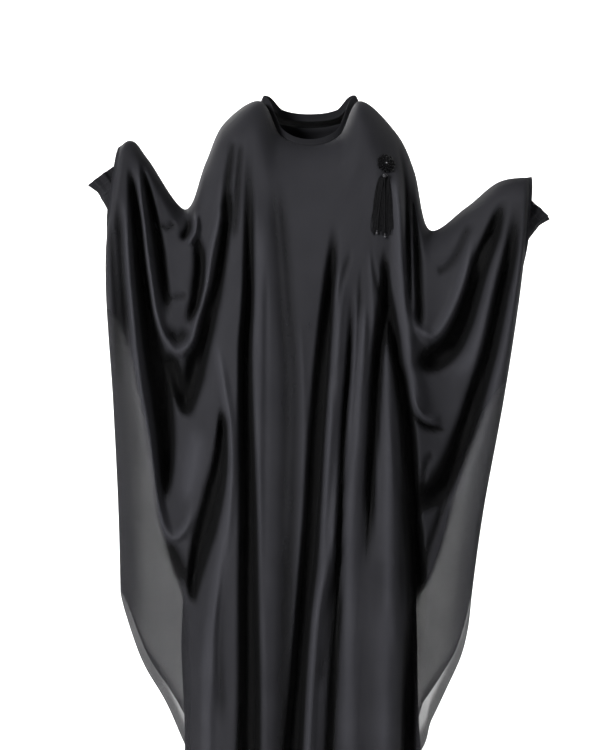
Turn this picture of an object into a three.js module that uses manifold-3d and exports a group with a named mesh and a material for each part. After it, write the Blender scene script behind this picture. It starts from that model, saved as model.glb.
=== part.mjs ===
// Butterfly abaya in its worn form: a sheer two-sheet cape over an opaque dress with narrow sleeves.
// Millimetres, +Z up, front towards -Y. The origin lies midway between the two shoulder-neck points.
// The arms are half raised, so the cape's outer edges hang from the wrists as wide wings.

import * as THREE from 'three';
import { mergeVertices } from 'three/addons/utils/BufferGeometryUtils.js';
import Module from 'manifold-3d';

// Cloth and seams
const WALL = 1.6;
const SEAM_GAP = 0.3;

// Cape depths, measured from the sheet's own middle plane
const HAND_REACH = 115;
const REACH_AT_HEM = 0.45;
const WING_START = 150;
const WING_END = 390;
const BODY_EDGE = 120;
const WING_EDGE = 300;
const CHEST_HALF_DEPTH = 150;
const HEM_HALF_DEPTH = 174;
const ARM_HALF_DEPTH = 64;
const WING_HALF_DEPTH = 30;
const LOW_WING_SHARE = 0.3;
const SHOULDER_ROUND = 130;
const ARM_ROUND = 45;
const EDGE_ROUND = 18;

// Drops below the origin over which a depth changes
const REACH_FADES = { from: 250, to: 1000 };
const BODY_WIDENS = { from: 200, to: 1300 };
const WING_NARROWS = { from: 340, to: 640 };
const LOW_WING_JOINS_BODY = { from: 850, to: 1150 };

// Wrist openings in the wings' outer edges: how open, and the height where each one closes
const MOUTH_SHARE = 0.72;
const MOUTH_CLOSES_OVER = 70;
const MOUTH_BOTTOM_RIGHT = -205;
const MOUTH_BOTTOM_LEFT = -265;

// Neck openings
const CAPE_NECK = { front: 80, back: 62 };
const DRESS_NECK = { half: 100, top: 10.3, front: 72, back: 55, dropFront: 110, dropBack: 38 };
const NECK_GUIDES = { first: 6, last: 10 };
const NECKBAND = { height: 13, lean: 0.06, clearance: 0.48 };
const COLUMN_TOLERANCE = 0.01;

// Cape guide lines from the top edge down to the hem, as [x, z] at five levels, in order across.
// neck is the share of the neck opening's depth, steps the columns up to the next line. The two outermost
// spaces have the columns of OUTER_EDGE_STEPS.
const LEVELS = [0, 0.2, 0.45, 0.72, 1];
const GUIDES = [
  { top: [-357, -86], chest: [-381, -290], hip: [-371, -560], knee: [-364, -760], hem: [-361, -925] },
  { top: [-332, -74], chest: [-330, -300], hip: [-322, -570], knee: [-318, -800], hem: [-318, -1048], steps: 3 },
  { top: [-304, -108], chest: [-285, -310], hip: [-275, -590], knee: [-272, -850], hem: [-270, -1133], steps: 3 },
  { top: [-238, -196], chest: [-232, -360], hip: [-225, -620], knee: [-222, -900], hem: [-222, -1226], steps: 3 },
  { top: [-200, -105], chest: [-185, -330], hip: [-175, -610], knee: [-170, -920], hem: [-168, -1262], steps: 2 },
  { top: [-165, -28], chest: [-150, -300], hip: [-145, -600], knee: [-143, -930], hem: [-140, -1278], steps: 3 },
  { top: [-95, 15], chest: [-118, -290], hip: [-122, -600], knee: [-125, -940], hem: [-125, -1284], steps: 3 },
  { top: [-55, -59], back: [-55, -6], neck: 0.815,
    chest: [-70, -290], hip: [-85, -600], knee: [-95, -940], hem: [-100, -1293], steps: 3 },
  { top: [0, -80], back: [0, -12], neck: 1,
    chest: [-12, -290], hip: [-30, -600], knee: [-56, -940], hem: [-68, -1300], steps: 4 },
  { top: [55, -59], back: [55, -6], neck: 0.815,
    chest: [46, -262], hip: [8, -600], knee: [-24, -950], hem: [-40, -1303], steps: 4 },
  { top: [95, 15], chest: [104, -256], hip: [72, -600], knee: [25, -940], hem: [0, -1300], steps: 8 },
  { top: [165, -45], chest: [128, -270], hip: [166, -600], knee: [190, -930], hem: [188, -1228], steps: 3 },
  { top: [200, -120], chest: [165, -300], hip: [205, -600], knee: [226, -880], hem: [228, -1158], steps: 2 },
  { top: [228, -234], chest: [222, -380], hip: [245, -620], knee: [258, -860], hem: [260, -1098], steps: 3 },
  { top: [295, -196], chest: [300, -370], hip: [296, -610], knee: [285, -830], hem: [285, -1046], steps: 3 },
  { top: [352, -152], chest: [350, -340], hip: [332, -580], knee: [306, -790], hem: [300, -992] },
  { top: [412, -143], chest: [397, -310], hip: [366, -550], knee: [331, -765], hem: [308, -941] },
];
const ROWS_FROM_TOP = [0, 0.006, 0.02, 0.045, 0.075, 0.11];
const ROWS_BELOW = 16;
const OUTER_EDGE_STEPS = [0.04, 0.16, 0.5];
const UPWARD_TILT = 0.02;

// Folds: depth stands out from the sheet, or sinks in when negative, and width runs from start to end.
// A swag has a roll, which stands out on the inside of its curve, ROLL_OFFSET widths from its trough.
// Routes are drawn as smooth curves, and a fold fades over the share FADE of its ends, except at the hem.
const ROUTE_STEPS = 5;
const FADE = 0.14;
const ROLL_OFFSET = 1.6;
const HEM_REACH = -1200;
const FRONT_FOLDS = [
  { depth: 8, width: [12, 20], route: [[-365, -105], [-351, -276], [-338, -428], [-319, -656]] },
  { depth: -8, width: [10, 18], route: [[-353, -133], [-336, -333], [-319, -504], [-295, -789]] },
  { depth: 8, width: [12, 20], route: [[-340, -105], [-317, -333], [-298, -447], [-262, -580]] },
  { depth: -8, width: [12, 18], route: [[-336, -114], [-304, -238], [-285, -352], [-276, -428]] },
  { depth: 7, width: [12, 20], route: [[-314, -124], [-285, -200], [-266, -333]] },
  { depth: -7, width: [8, 9], route: [[-150, -53], [-167, -95], [-170, -142], [-163, -200]] },
  { depth: -12, roll: 9, width: [16, 14], route: [[-304, -371], [-251, -469], [-213, -371], [-181, -181],
    [-167, -86]] },
  { depth: -14, roll: 10, width: [16, 14], route: [[-285, -447], [-247, -589], [-213, -504], [-186, -352],
    [-160, -181]] },
  { depth: -13, roll: 12, width: [18, 16], route: [[-323, -561], [-300, -751], [-262, -832], [-219, -713],
    [-181, -523], [-156, -371]] },
  { depth: -12, roll: 12, width: [20, 16], route: [[-304, -865], [-228, -963], [-200, -865], [-171, -713]] },
  { depth: -30, width: [11, 15], route: [[-118, -82], [-120, -371], [-127, -561], [-124, -751], [-127, -1300]] },
  { depth: 13, width: [15, 24], route: [[-143, -371], [-156, -561], [-167, -751], [-190, -1100]] },
  { depth: 8, width: [20, 20], route: [[-96, -180], [-98, -600], [-103, -1300]] },
  { depth: -7, width: [16, 18], route: [[-66, -140], [-48, -371], [-38, -600], [-52, -1300]] },
  { depth: -30, width: [10, 15], route: [[44, -256], [32, -428], [15, -522], [0, -675], [-19, -865], [-28, -1035],
    [-40, -1310]] },
  { depth: 13, width: [12, 14], route: [[57, -276], [38, -561], [0, -979], [-12, -1310]] },
  { depth: 11, width: [8, 14], route: [[91, -300], [80, -541], [65, -674], [47, -826], [12, -1018], [8, -1310]] },
  { depth: -22, width: [9, 14], route: [[80, -380], [67, -599], [53, -865], [48, -1017], [40, -1310]] },
  { depth: 12, width: [9, 16], route: [[104, -330], [99, -466], [82, -713], [78, -941], [70, -1310]] },
  { depth: -16, width: [8, 15], route: [[112, -330], [114, -504], [108, -751], [106, -1290]] },
  { depth: 12, width: [8, 18], route: [[118, -320], [134, -504], [142, -751], [146, -1270]] },
  { depth: -24, width: [9, 16], route: [[122, -290], [162, -504], [171, -656], [184, -865], [180, -1240]] },
  { depth: 12, width: [14, 18], route: [[171, -86], [175, -332], [192, -504], [212, -720]] },
  { depth: -12, width: [12, 16], route: [[190, -90], [205, -371], [218, -561], [222, -800]] },
  { depth: -12, roll: 9, width: [15, 16], route: [[217, -219], [226, -440], [260, -430], [304, -352],
    [340, -180]] },
  { depth: -14, roll: 10, width: [16, 16], route: [[228, -420], [240, -505], [285, -466], [330, -352],
    [366, -181]] },
  { depth: -12, roll: 10, width: [18, 16], route: [[219, -589], [266, -622], [305, -500], [345, -330],
    [380, -200]] },
  { depth: -13, roll: 12, width: [18, 16], route: [[200, -713], [240, -762], [285, -675], [323, -561],
    [361, -428], [396, -190]] },
  { depth: 8, width: [14, 20], route: [[404, -209], [384, -428], [355, -561], [323, -656], [276, -865]] },
];
const BACK_FOLDS = [
  { depth: -20, width: [14, 22], route: [[-60, -60], [-66, -500], [-80, -1300]] },
  { depth: 12, width: [18, 24], route: [[-104, -110], [-112, -560], [-126, -1290]] },
  { depth: -18, width: [14, 22], route: [[-132, -120], [-146, -620], [-170, -1270]] },
  { depth: 10, width: [20, 24], route: [[4, -60], [0, -600], [-14, -1300]] },
  { depth: -20, width: [14, 22], route: [[62, -70], [56, -520], [44, -1300]] },
  { depth: 12, width: [18, 22], route: [[104, -120], [104, -600], [96, -1290]] },
  { depth: -18, width: [14, 22], route: [[140, -130], [156, -620], [160, -1250]] },
  { depth: -9, width: [20, 20], route: [[-320, -260], [-262, -430], [-214, -330], [-172, -130]] },
  { depth: -10, width: [22, 20], route: [[-330, -460], [-270, -660], [-206, -520], [-160, -250]] },
  { depth: -9, width: [24, 20], route: [[-326, -700], [-258, -880], [-196, -700]] },
  { depth: -9, width: [20, 20], route: [[340, -240], [272, -420], [222, -330], [178, -130]] },
  { depth: -10, width: [22, 20], route: [[360, -400], [284, -620], [218, -520], [176, -260]] },
  { depth: -9, width: [24, 20], route: [[318, -640], [258, -840], [212, -720]] },
];

// Dress sections, from under the arm to the floor-length hem
const DRESS_RINGS = [
  { z: -235, left: -140, right: 140, front: 112, back: 108 },
  { z: -330, left: -148, right: 148, front: 112, back: 108 },
  { z: -520, left: -188, right: 180, front: 122, back: 120 },
  { z: -760, left: -222, right: 200, front: 128, back: 126 },
  { z: -1000, left: -248, right: 207, front: 126, back: 130 },
  { z: -1200, left: -242, right: 212, front: 127, back: 136 },
  { z: -1420, left: -245, right: 236, front: 132, back: 144 },
];
const DRESS_ROWS_TO_CHEST = [0, 0.12, 0.3, 0.55, 0.8];
const DRESS_ROWS_BELOW = 9;
const ARMHOLE = { out: 147.5, z: -126, half: 79.5, depth: 66, lean: 0.03 };
const ARMHOLE_SHARE = 0.2;
const SHOULDER_SHARE = 0.32;
const ARMHOLE_STEPS = 6;
const SHOULDER_STEPS = 2;
const NECK_STEPS = 3;
const DRESS_WAVES = 9;
const DRESS_WAVE_DEPTH = 7;
const DRESS_WAVES_GROW = { from: 420, to: 1200 };
const SHARE_TOLERANCE = 0.001;
// Which way is outside on a panel: mostly front or back, a little sideways, and up near the top edge
const PANEL_OUTWARD = { sideways: 0.3, up: 0.6, upRows: 3 };

// Sleeve sections after the armhole: distance out from the middle, height and radius
const SLEEVES = {
  sleeve_right: { side: -1, cuff: 'cuff_right', rings: [
    { out: 177, z: -164, radius: 38 }, { out: 188, z: -222, radius: 34 }, { out: 200, z: -268, radius: 35 },
    { out: 236, z: -299, radius: 35 }, { out: 272, z: -272, radius: 34 }, { out: 308, z: -236, radius: 32 },
    { out: 346, z: -200, radius: 30 }, { out: 369, z: -168, radius: 27 }] },
  sleeve_left: { side: 1, cuff: 'cuff_left', rings: [
    { out: 172, z: -168, radius: 33 }, { out: 182, z: -230, radius: 31 }, { out: 197, z: -296, radius: 35 },
    { out: 237, z: -334, radius: 36 }, { out: 284, z: -318, radius: 35 }, { out: 332, z: -286, radius: 33 },
    { out: 376, z: -254, radius: 30 }, { out: 400, z: -226, radius: 27 }] },
};
const SLEEVE_SEGMENTS = 2 * ARMHOLE_STEPS;
// The cuff turns back towards the middle plane by this share of the sleeve's own slant in depth
const CUFF_SLANT = 0.5;
const CUFF = { segments: 36, waves: 9, rings: [
  { along: 0, radius: 27, wave: 0.5 }, { along: 12, radius: 25, wave: 1.4 },
  { along: 24, radius: 27.5, wave: 2.2 }, { along: 34, radius: 30, wave: 3 }] };

// Tie on the left chest: a cloth rosette, and a tassel of two strands that end in beads
const ROSETTE = { x: 141, z: -121, radius: 17, height: 8, petals: 6, rings: 4, segments: 18, clearance: 0.9,
  scallop: 0.12, crownStart: 0.25, petalRelief: 0.25, dish: 0.35 };
const TASSEL = { x: 137, top: -140, headRadius: 4.5, headStandOff: 1.6, strandRadius: 1.1, beadRadius: 3,
  standOff: 3.6, spread: 0.7, settlesBy: 0.3 };
const STRANDS = [{ x: 123, z: -251 }, { x: 138, z: -257 }];
const STRAND_STEPS = 7;

const BLACK_SHEER = { color: 0x1b1b1f, roughness: 0.82, metalness: 0 };
const BLACK_OPAQUE = { color: 0x101013, roughness: 0.86, metalness: 0 };
const BLACK_TRIM = { color: 0x222226, roughness: 0.45, metalness: 0.1 };

const clamp01 = (value) => Math.min(1, Math.max(0, value));
const lerp = THREE.MathUtils.lerp;

function smooth(from, to, value) {
  const t = clamp01((value - from) / (to - from));
  return t * t * (3 - 2 * t);
}

function quarterRound(distance, radius) {
  return Math.sqrt(1 - (1 - clamp01(distance / radius)) ** 2);
}

// A smooth curve through values at rising knots
function curve(knots, values, t) {
  const last = knots.length - 1;
  let i = 0;
  while (i < last - 1 && t > knots[i + 1]) i += 1;
  const slope = (k) => {
    const before = Math.max(k - 1, 0);
    const after = Math.min(k + 1, last);
    return (values[after] - values[before]) / (knots[after] - knots[before]);
  };
  const span = knots[i + 1] - knots[i];
  const s = clamp01((t - knots[i]) / span);
  const rise = s * s * (3 - 2 * s);
  const leave = s * (1 - s) ** 2 * slope(i) * span;
  const arrive = s * s * (s - 1) * slope(i + 1) * span;
  return lerp(values[i], values[i + 1], rise) + leave + arrive;
}

// A closed wall from a grid of outer points: its inner points lie one wall thickness inside.
// flatEdges and flatTop keep a seam edge's inner points in the plane of the seam, flatEnds a tube's.
function wall(grid, { wraps = false, flatEdges = false, flatTop = () => false, flatEnds = false, outward }) {
  const rows = grid.length;
  const columns = grid[0].length;
  const at = (i, j) => {
    const column = wraps ? (j + columns) % columns : THREE.MathUtils.clamp(j, 0, columns - 1);
    return grid[THREE.MathUtils.clamp(i, 0, rows - 1)][column];
  };
  const positions = [];
  const inner = [];
  for (let i = 0; i < rows; i += 1) {
    for (let j = 0; j < columns; j += 1) {
      const across = at(i, j + 1).clone().sub(at(i, j - 1));
      const down = at(i + 1, j).clone().sub(at(i - 1, j));
      const normal = across.cross(down).normalize();
      if (normal.dot(outward(at(i, j), i, j)) < 0) normal.negate();
      const onSeam = (flatEdges && (j === 0 || j === columns - 1)) || (i === 0 && flatTop(j));
      if (onSeam) normal.setY(0).normalize();
      if (flatEnds && (i === 0 || i === rows - 1)) normal.copy(outward(at(i, j), i, j)).normalize();
      positions.push(at(i, j));
      inner.push(at(i, j).clone().addScaledVector(normal, -WALL));
    }
  }
  const points = positions.concat(inner);
  const count = rows * columns;
  const faces = [];
  const quad = (a, b, c, d) => faces.push(a, b, c, a, c, d);
  const lastColumn = wraps ? columns : columns - 1;
  const id = (i, j) => i * columns + (j % columns);
  for (let i = 0; i < rows - 1; i += 1) {
    for (let j = 0; j < lastColumn; j += 1) {
      quad(id(i, j), id(i + 1, j), id(i + 1, j + 1), id(i, j + 1));
      quad(count + id(i, j), count + id(i, j + 1), count + id(i + 1, j + 1), count + id(i + 1, j));
    }
  }
  for (let j = 0; j < lastColumn; j += 1) {
    quad(id(0, j), id(0, j + 1), count + id(0, j + 1), count + id(0, j));
    const low = rows - 1;
    quad(id(low, j + 1), id(low, j), count + id(low, j), count + id(low, j + 1));
  }
  for (let i = 0; i < rows - 1 && !wraps; i += 1) {
    const end = columns - 1;
    quad(id(i + 1, 0), id(i, 0), count + id(i, 0), count + id(i + 1, 0));
    quad(id(i, end), id(i + 1, end), count + id(i + 1, end), count + id(i, end));
  }
  return solid(points, faces);
}

// A geometry from points and triangles, turned so that its faces point out
function solid(points, faces) {
  let volume = 0;
  for (let k = 0; k < faces.length; k += 3) {
    const [a, b, c] = [points[faces[k]], points[faces[k + 1]], points[faces[k + 2]]];
    volume += a.dot(b.clone().cross(c));
  }
  const order = volume < 0 ? faces.slice().reverse() : faces;
  const geometry = new THREE.BufferGeometry().setFromPoints(points);
  geometry.setIndex(order);
  geometry.computeVertexNormals();
  return geometry;
}

// A fold's route as a finer, smooth line
function finerRoute(route) {
  const knots = route.map((_, k) => k);
  const count = (route.length - 1) * ROUTE_STEPS;
  return Array.from({ length: count + 1 }, (_, k) => {
    const t = k / ROUTE_STEPS;
    return [0, 1].map((axis) => curve(knots, route.map((p) => p[axis]), t));
  });
}

const withRoutes = (folds) => folds.map((fold) => ({ ...fold, line: finerRoute(fold.route) }));

// Height that all the folds give the sheet at a place
function foldRelief(folds, x, z) {
  let relief = 0;
  for (const { depth, roll = 0, width, line } of folds) {
    let nearest = Infinity;
    let side = 1;
    let along = 0;
    for (let k = 0; k < line.length - 1; k += 1) {
      const [ax, az] = line[k];
      const [dx, dz] = [line[k + 1][0] - ax, line[k + 1][1] - az];
      const t = clamp01(((x - ax) * dx + (z - az) * dz) / (dx * dx + dz * dz));
      const distance = Math.hypot(x - ax - t * dx, z - az - t * dz);
      if (distance < nearest) {
        nearest = distance;
        side = Math.sign(dx * (z - az) - dz * (x - ax));
        along = (k + t) / (line.length - 1);
      }
    }
    const reachesHem = line[line.length - 1][1] < HEM_REACH;
    const fade = smooth(0, FADE, along) * (reachesHem ? 1 : smooth(1, 1 - FADE, along));
    const away = (side * nearest) / lerp(width[0], width[1], along);
    relief += fade * (depth * Math.exp(-(away ** 2)) + roll * Math.exp(-((away - ROLL_OFFSET) ** 2)));
  }
  return relief;
}

const over = ({ from, to }, z) => smooth(from, to, -z);

// Depth of the plane midway between the sheets: the hands carry the wings forward
function capeMiddle(x, z) {
  const held = lerp(1, REACH_AT_HEM, over(REACH_FADES, z));
  return -HAND_REACH * held * smooth(WING_START, WING_END, Math.abs(x));
}

// Half the space between the sheets before folds
function capeHalfDepth(x, z) {
  const body = lerp(CHEST_HALF_DEPTH, HEM_HALF_DEPTH, over(BODY_WIDENS, z));
  const wing = lerp(ARM_HALF_DEPTH, WING_HALF_DEPTH, over(WING_NARROWS, z));
  const lowWing = lerp(wing, body * LOW_WING_SHARE, over(LOW_WING_JOINS_BODY, z));
  return lerp(body, lowWing, smooth(BODY_EDGE, WING_EDGE, Math.abs(x)));
}

// One sheet of the cape as a grid of outer points; face is -1 in front and 1 behind
function capeGrid(face, folds, columns, rows) {
  const numbers = GUIDES.map((_, k) => k);
  const neckDepth = face < 0 ? CAPE_NECK.front : CAPE_NECK.back;
  const necks = GUIDES.map((guide) => (guide.neck ?? 0) * neckDepth);
  const rowAt = (v) => [0, 1].map((axis) => GUIDES.map((guide) => {
    const top = face > 0 && guide.back ? guide.back : guide.top;
    const stops = [top, guide.chest, guide.hip, guide.knee, guide.hem];
    return curve(LEVELS, stops.map((stop) => stop[axis]), v);
  }));
  const [topX, topZ] = rowAt(0);
  return rows.map((v) => {
    const [rowX, rowZ] = rowAt(v);
    return columns.map((u) => {
      const x = curve(numbers, rowX, u);
      const z = curve(numbers, rowZ, u);
      const fromTop = Math.hypot(x - curve(numbers, topX, u), z - curve(numbers, topZ, u));
      const edge = u < GUIDES.length / 2 ? 0 : GUIDES.length - 1;
      const fromEdge = Math.abs(x - rowX[edge]);
      const mouthBottom = edge === 0 ? MOUTH_BOTTOM_RIGHT : MOUTH_BOTTOM_LEFT;
      const open = MOUTH_SHARE * smooth(mouthBottom - MOUTH_CLOSES_OVER, mouthBottom, z);
      const edgeShare = Math.max(quarterRound(fromEdge, EDGE_ROUND), open);
      const topRound = lerp(SHOULDER_ROUND, ARM_ROUND, smooth(BODY_EDGE, WING_EDGE, Math.abs(x)));
      const topShare = quarterRound(fromTop, topRound);
      const half = capeHalfDepth(x, z) * edgeShare;
      const atTop = clamp01(curve(numbers, necks, u) / neckDepth) * neckDepth;
      const relief = foldRelief(folds, x, z) * edgeShare * smooth(0, topRound, fromTop);
      const depth = lerp(atTop, half, topShare) + relief;
      return new THREE.Vector3(x, capeMiddle(x, z) + face * (SEAM_GAP / 2 + Math.max(0, depth)), z);
    });
  });
}

// Both sheets share their columns and rows, so that their seams follow one line
function capeColumns() {
  const columns = [];
  GUIDES.forEach(({ steps = 0 }, k) => {
    columns.push(k);
    const atRightEdge = k === 0;
    const atLeftEdge = k === GUIDES.length - 2;
    if (atRightEdge) OUTER_EDGE_STEPS.forEach((part) => columns.push(k + part));
    else if (atLeftEdge) OUTER_EDGE_STEPS.slice().reverse().forEach((part) => columns.push(k + 1 - part));
    else for (let s = 1; s < steps; s += 1) columns.push(k + s / steps);
  });
  return columns;
}

function capeRows() {
  const start = ROWS_FROM_TOP[ROWS_FROM_TOP.length - 1];
  const lower = Array.from({ length: ROWS_BELOW }, (_, k) => lerp(start, 1, (k + 1) / ROWS_BELOW));
  return ROWS_FROM_TOP.concat(lower);
}

const isNeckColumn = (u) => (
  u > NECK_GUIDES.first + COLUMN_TOLERANCE && u < NECK_GUIDES.last - COLUMN_TOLERANCE);

function capeSheet(grid, face, columns) {
  return wall(grid, {
    flatEdges: true,
    flatTop: (j) => !isNeckColumn(columns[j]),
    outward: (point, i, j) => {
      if (i === 0 && !isNeckColumn(columns[j])) return new THREE.Vector3(0, 0, 1);
      if (j === 0) return new THREE.Vector3(-1, 0, 0);
      if (j === columns.length - 1) return new THREE.Vector3(1, 0, 0);
      return new THREE.Vector3(0, face, UPWARD_TILT);
    },
  });
}

// The dress: its top edge runs up the armhole, along the shoulder and round the neck
function dressTop(u, face) {
  const side = u < 0.5 ? -1 : 1;
  const w = Math.min(u, 1 - u);
  if (w < ARMHOLE_SHARE) return armholePoint(side, Math.PI * (w / ARMHOLE_SHARE), face);
  const tip = armholePoint(side, Math.PI, face);
  const neckSide = new THREE.Vector3(side * DRESS_NECK.half, 0, DRESS_NECK.top);
  if (w < SHOULDER_SHARE) {
    return tip.lerp(neckSide, (w - ARMHOLE_SHARE) / (SHOULDER_SHARE - ARMHOLE_SHARE));
  }
  const angle = (Math.PI / 2) * ((w - SHOULDER_SHARE) / (0.5 - SHOULDER_SHARE));
  const depth = face < 0 ? DRESS_NECK.front : DRESS_NECK.back;
  const drop = face < 0 ? DRESS_NECK.dropFront : DRESS_NECK.dropBack;
  return new THREE.Vector3(
    side * DRESS_NECK.half * Math.cos(angle),
    face * depth * Math.sin(angle),
    DRESS_NECK.top - drop * Math.sin(angle),
  );
}

// Angle 0 is under the arm and a half turn is the shoulder tip
function armholePoint(side, angle, face) {
  const up = -Math.cos(angle) * ARMHOLE.half;
  return new THREE.Vector3(
    side * (ARMHOLE.out + up * Math.sin(ARMHOLE.lean)),
    face * Math.sin(angle) * ARMHOLE.depth,
    ARMHOLE.z + up * Math.cos(ARMHOLE.lean),
  );
}

function dressRing(u, z, face) {
  const knots = DRESS_RINGS.map((ring) => -ring.z);
  const read = (key) => curve(knots, DRESS_RINGS.map((ring) => ring[key]), -z);
  const [left, right] = [read('left'), read('right')];
  const wave = DRESS_WAVE_DEPTH * over(DRESS_WAVES_GROW, z) * Math.cos(2 * Math.PI * DRESS_WAVES * u);
  const depth = read(face < 0 ? 'front' : 'back') + wave;
  return new THREE.Vector3(
    (left + right) / 2 - ((right - left) / 2) * Math.cos(Math.PI * u),
    face * depth * Math.sin(Math.PI * u),
    z,
  );
}

function dressColumns() {
  const half = [];
  const spread = (from, to, steps) => {
    for (let k = 0; k < steps; k += 1) half.push(lerp(from, to, k / steps));
  };
  spread(0, ARMHOLE_SHARE, ARMHOLE_STEPS);
  spread(ARMHOLE_SHARE, SHOULDER_SHARE, SHOULDER_STEPS);
  spread(SHOULDER_SHARE, 0.5, NECK_STEPS);
  return half.concat([0.5], half.slice().reverse().map((w) => 1 - w));
}

function dressPanel(face) {
  const columns = dressColumns();
  const chest = DRESS_RINGS[0].z;
  const hem = DRESS_RINGS[DRESS_RINGS.length - 1].z;
  const upper = DRESS_ROWS_TO_CHEST.map((s) => columns.map((u) => {
    const top = dressTop(u, face);
    const ring = dressRing(u, chest, face);
    const point = top.clone().lerp(ring, s);
    point.y = lerp(top.y, ring.y, quarterRound(s, 1));
    return point;
  }));
  const lower = Array.from({ length: DRESS_ROWS_BELOW + 1 }, (_, k) => {
    const z = lerp(chest, hem, k / DRESS_ROWS_BELOW);
    return columns.map((u) => dressRing(u, z, face));
  });
  const grid = upper.concat(lower);
  grid.forEach((row) => row.forEach((point) => {
    point.y += face * (SEAM_GAP / 2);
  }));
  const w = (j) => Math.min(columns[j], 1 - columns[j]);
  return wall(grid, {
    flatEdges: true,
    flatTop: (j) => w(j) > ARMHOLE_SHARE - SHARE_TOLERANCE && w(j) < SHOULDER_SHARE + SHARE_TOLERANCE,
    outward: (point, i, j) => {
      const side = Math.sign(point.x);
      if (j === 0 || j === columns.length - 1) return new THREE.Vector3(side, 0, 0);
      const { sideways, up, upRows } = PANEL_OUTWARD;
      return new THREE.Vector3(side * sideways, face, i < upRows ? up : 0);
    },
  });
}

// A sleeve or cuff section: an ellipse square to the arm's line
function ringPoints(centre, along, radiusAcross, radiusDeep, segments, wave = () => 0) {
  const across = new THREE.Vector3(along.z, 0, -along.x).normalize();
  const deep = new THREE.Vector3().crossVectors(along, across).normalize();
  return Array.from({ length: segments }, (_, k) => {
    const angle = (2 * Math.PI * k) / segments;
    const swell = wave(angle);
    return centre.clone()
      .addScaledVector(across, Math.cos(angle) * (radiusAcross + swell))
      .addScaledVector(deep, Math.sin(angle) * (radiusDeep + swell));
  });
}

function armLine({ side, rings }) {
  return rings.map(({ out, z }) => new THREE.Vector3(side * out, capeMiddle(out, z), z));
}

function sleeveEnd(sleeve) {
  const line = armLine(sleeve);
  const end = line[line.length - 1];
  const along = end.clone().sub(line[line.length - 2]);
  along.y *= CUFF_SLANT;
  return { end, along: along.normalize() };
}

function sleeveTube(sleeve) {
  const { side, rings } = sleeve;
  const line = armLine(sleeve);
  const { along: lastAlong } = sleeveEnd(sleeve);
  const outwards = new THREE.Vector3(side * Math.cos(ARMHOLE.lean), 0, -Math.sin(ARMHOLE.lean));
  const armhole = Array.from({ length: SLEEVE_SEGMENTS }, (_, k) => {
    const angle = (2 * Math.PI * k) / SLEEVE_SEGMENTS;
    return armholePoint(side, angle, side).addScaledVector(outwards, SEAM_GAP);
  });
  const armCentre = new THREE.Vector3(side * ARMHOLE.out, 0, ARMHOLE.z);
  const grid = [armhole];
  line.forEach((centre, k) => {
    const before = line[k - 1];
    const after = line[k + 1];
    let along = lastAlong;
    if (k === 0) along = after.clone().sub(centre).normalize().add(outwards).normalize();
    else if (after) along = after.clone().sub(before).normalize();
    const ring = ringPoints(centre, along, rings[k].radius, rings[k].radius, SLEEVE_SEGMENTS);
    grid.push(alignRing(ring, grid[grid.length - 1]));
  });
  return tube(grid, [armCentre, ...line]);
}

// Turn and order a ring so that its points follow the ring before
function alignRing(ring, before) {
  const middle = (points) => points.reduce((sum, p) => sum.add(p), new THREE.Vector3())
    .divideScalar(points.length);
  const shift = middle(before).sub(middle(ring));
  const orders = [ring, ring.slice().reverse()].flatMap((points) => (
    points.map((_, k) => points.slice(k).concat(points.slice(0, k)))));
  const cost = (points) => points.reduce(
    (sum, p, k) => sum + p.clone().add(shift).distanceToSquared(before[k]), 0);
  return orders.reduce((best, order) => (cost(order) < cost(best) ? order : best));
}

function tube(grid, centres) {
  return wall(grid, { wraps: true, flatEnds: true, outward: (point, i) => point.clone().sub(centres[i]) });
}

function cuffTube(sleeve) {
  const { end, along } = sleeveEnd(sleeve);
  const centres = CUFF.rings.map((ring) => end.clone().addScaledVector(along, ring.along + SEAM_GAP));
  const grid = CUFF.rings.map(({ radius, wave }, k) => (
    ringPoints(centres[k], along, radius, radius, CUFF.segments,
      (angle) => wave * Math.cos(CUFF.waves * angle))));
  return tube(grid, centres);
}

// The neckband stands on the cape's neck edge, all the way round
function neckband(frontGrid, backGrid, columns) {
  const atNeck = (_, j) => columns[j] >= NECK_GUIDES.first && columns[j] <= NECK_GUIDES.last;
  const front = frontGrid[0].filter(atNeck);
  const back = backGrid[0].filter(atNeck).reverse();
  const edge = front.concat(back);
  const heights = [NECKBAND.height, NECKBAND.height / 2, NECKBAND.clearance];
  const grid = heights.map((height) => edge.map((point) => {
    const lean = 1 - (NECKBAND.lean * height) / NECKBAND.height;
    return new THREE.Vector3(point.x * lean, point.y * lean, point.z + height);
  }));
  return wall(grid, { wraps: true, outward: (point) => new THREE.Vector3(point.x, point.y, 0) });
}

// Depth of the faceted front sheet at a place on it
function frontDepthAt(grid, x, z) {
  const triangle = new THREE.Triangle();
  const place = new THREE.Vector3(x, 0, z);
  for (let i = 0; i < grid.length - 1; i += 1) {
    for (let j = 0; j < grid[0].length - 1; j += 1) {
      const corners = [grid[i][j], grid[i + 1][j], grid[i + 1][j + 1], grid[i][j + 1]];
      for (const [a, b, c] of [[0, 1, 2], [0, 2, 3]]) {
        const flat = [a, b, c].map((k) => new THREE.Vector3(corners[k].x, 0, corners[k].z));
        triangle.set(...flat);
        const share = triangle.getBarycoord(place, new THREE.Vector3());
        if (share && share.x >= 0 && share.y >= 0 && share.z >= 0) {
          return corners[a].y * share.x + corners[b].y * share.y + corners[c].y * share.z;
        }
      }
    }
  }
  return 0;
}

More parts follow.
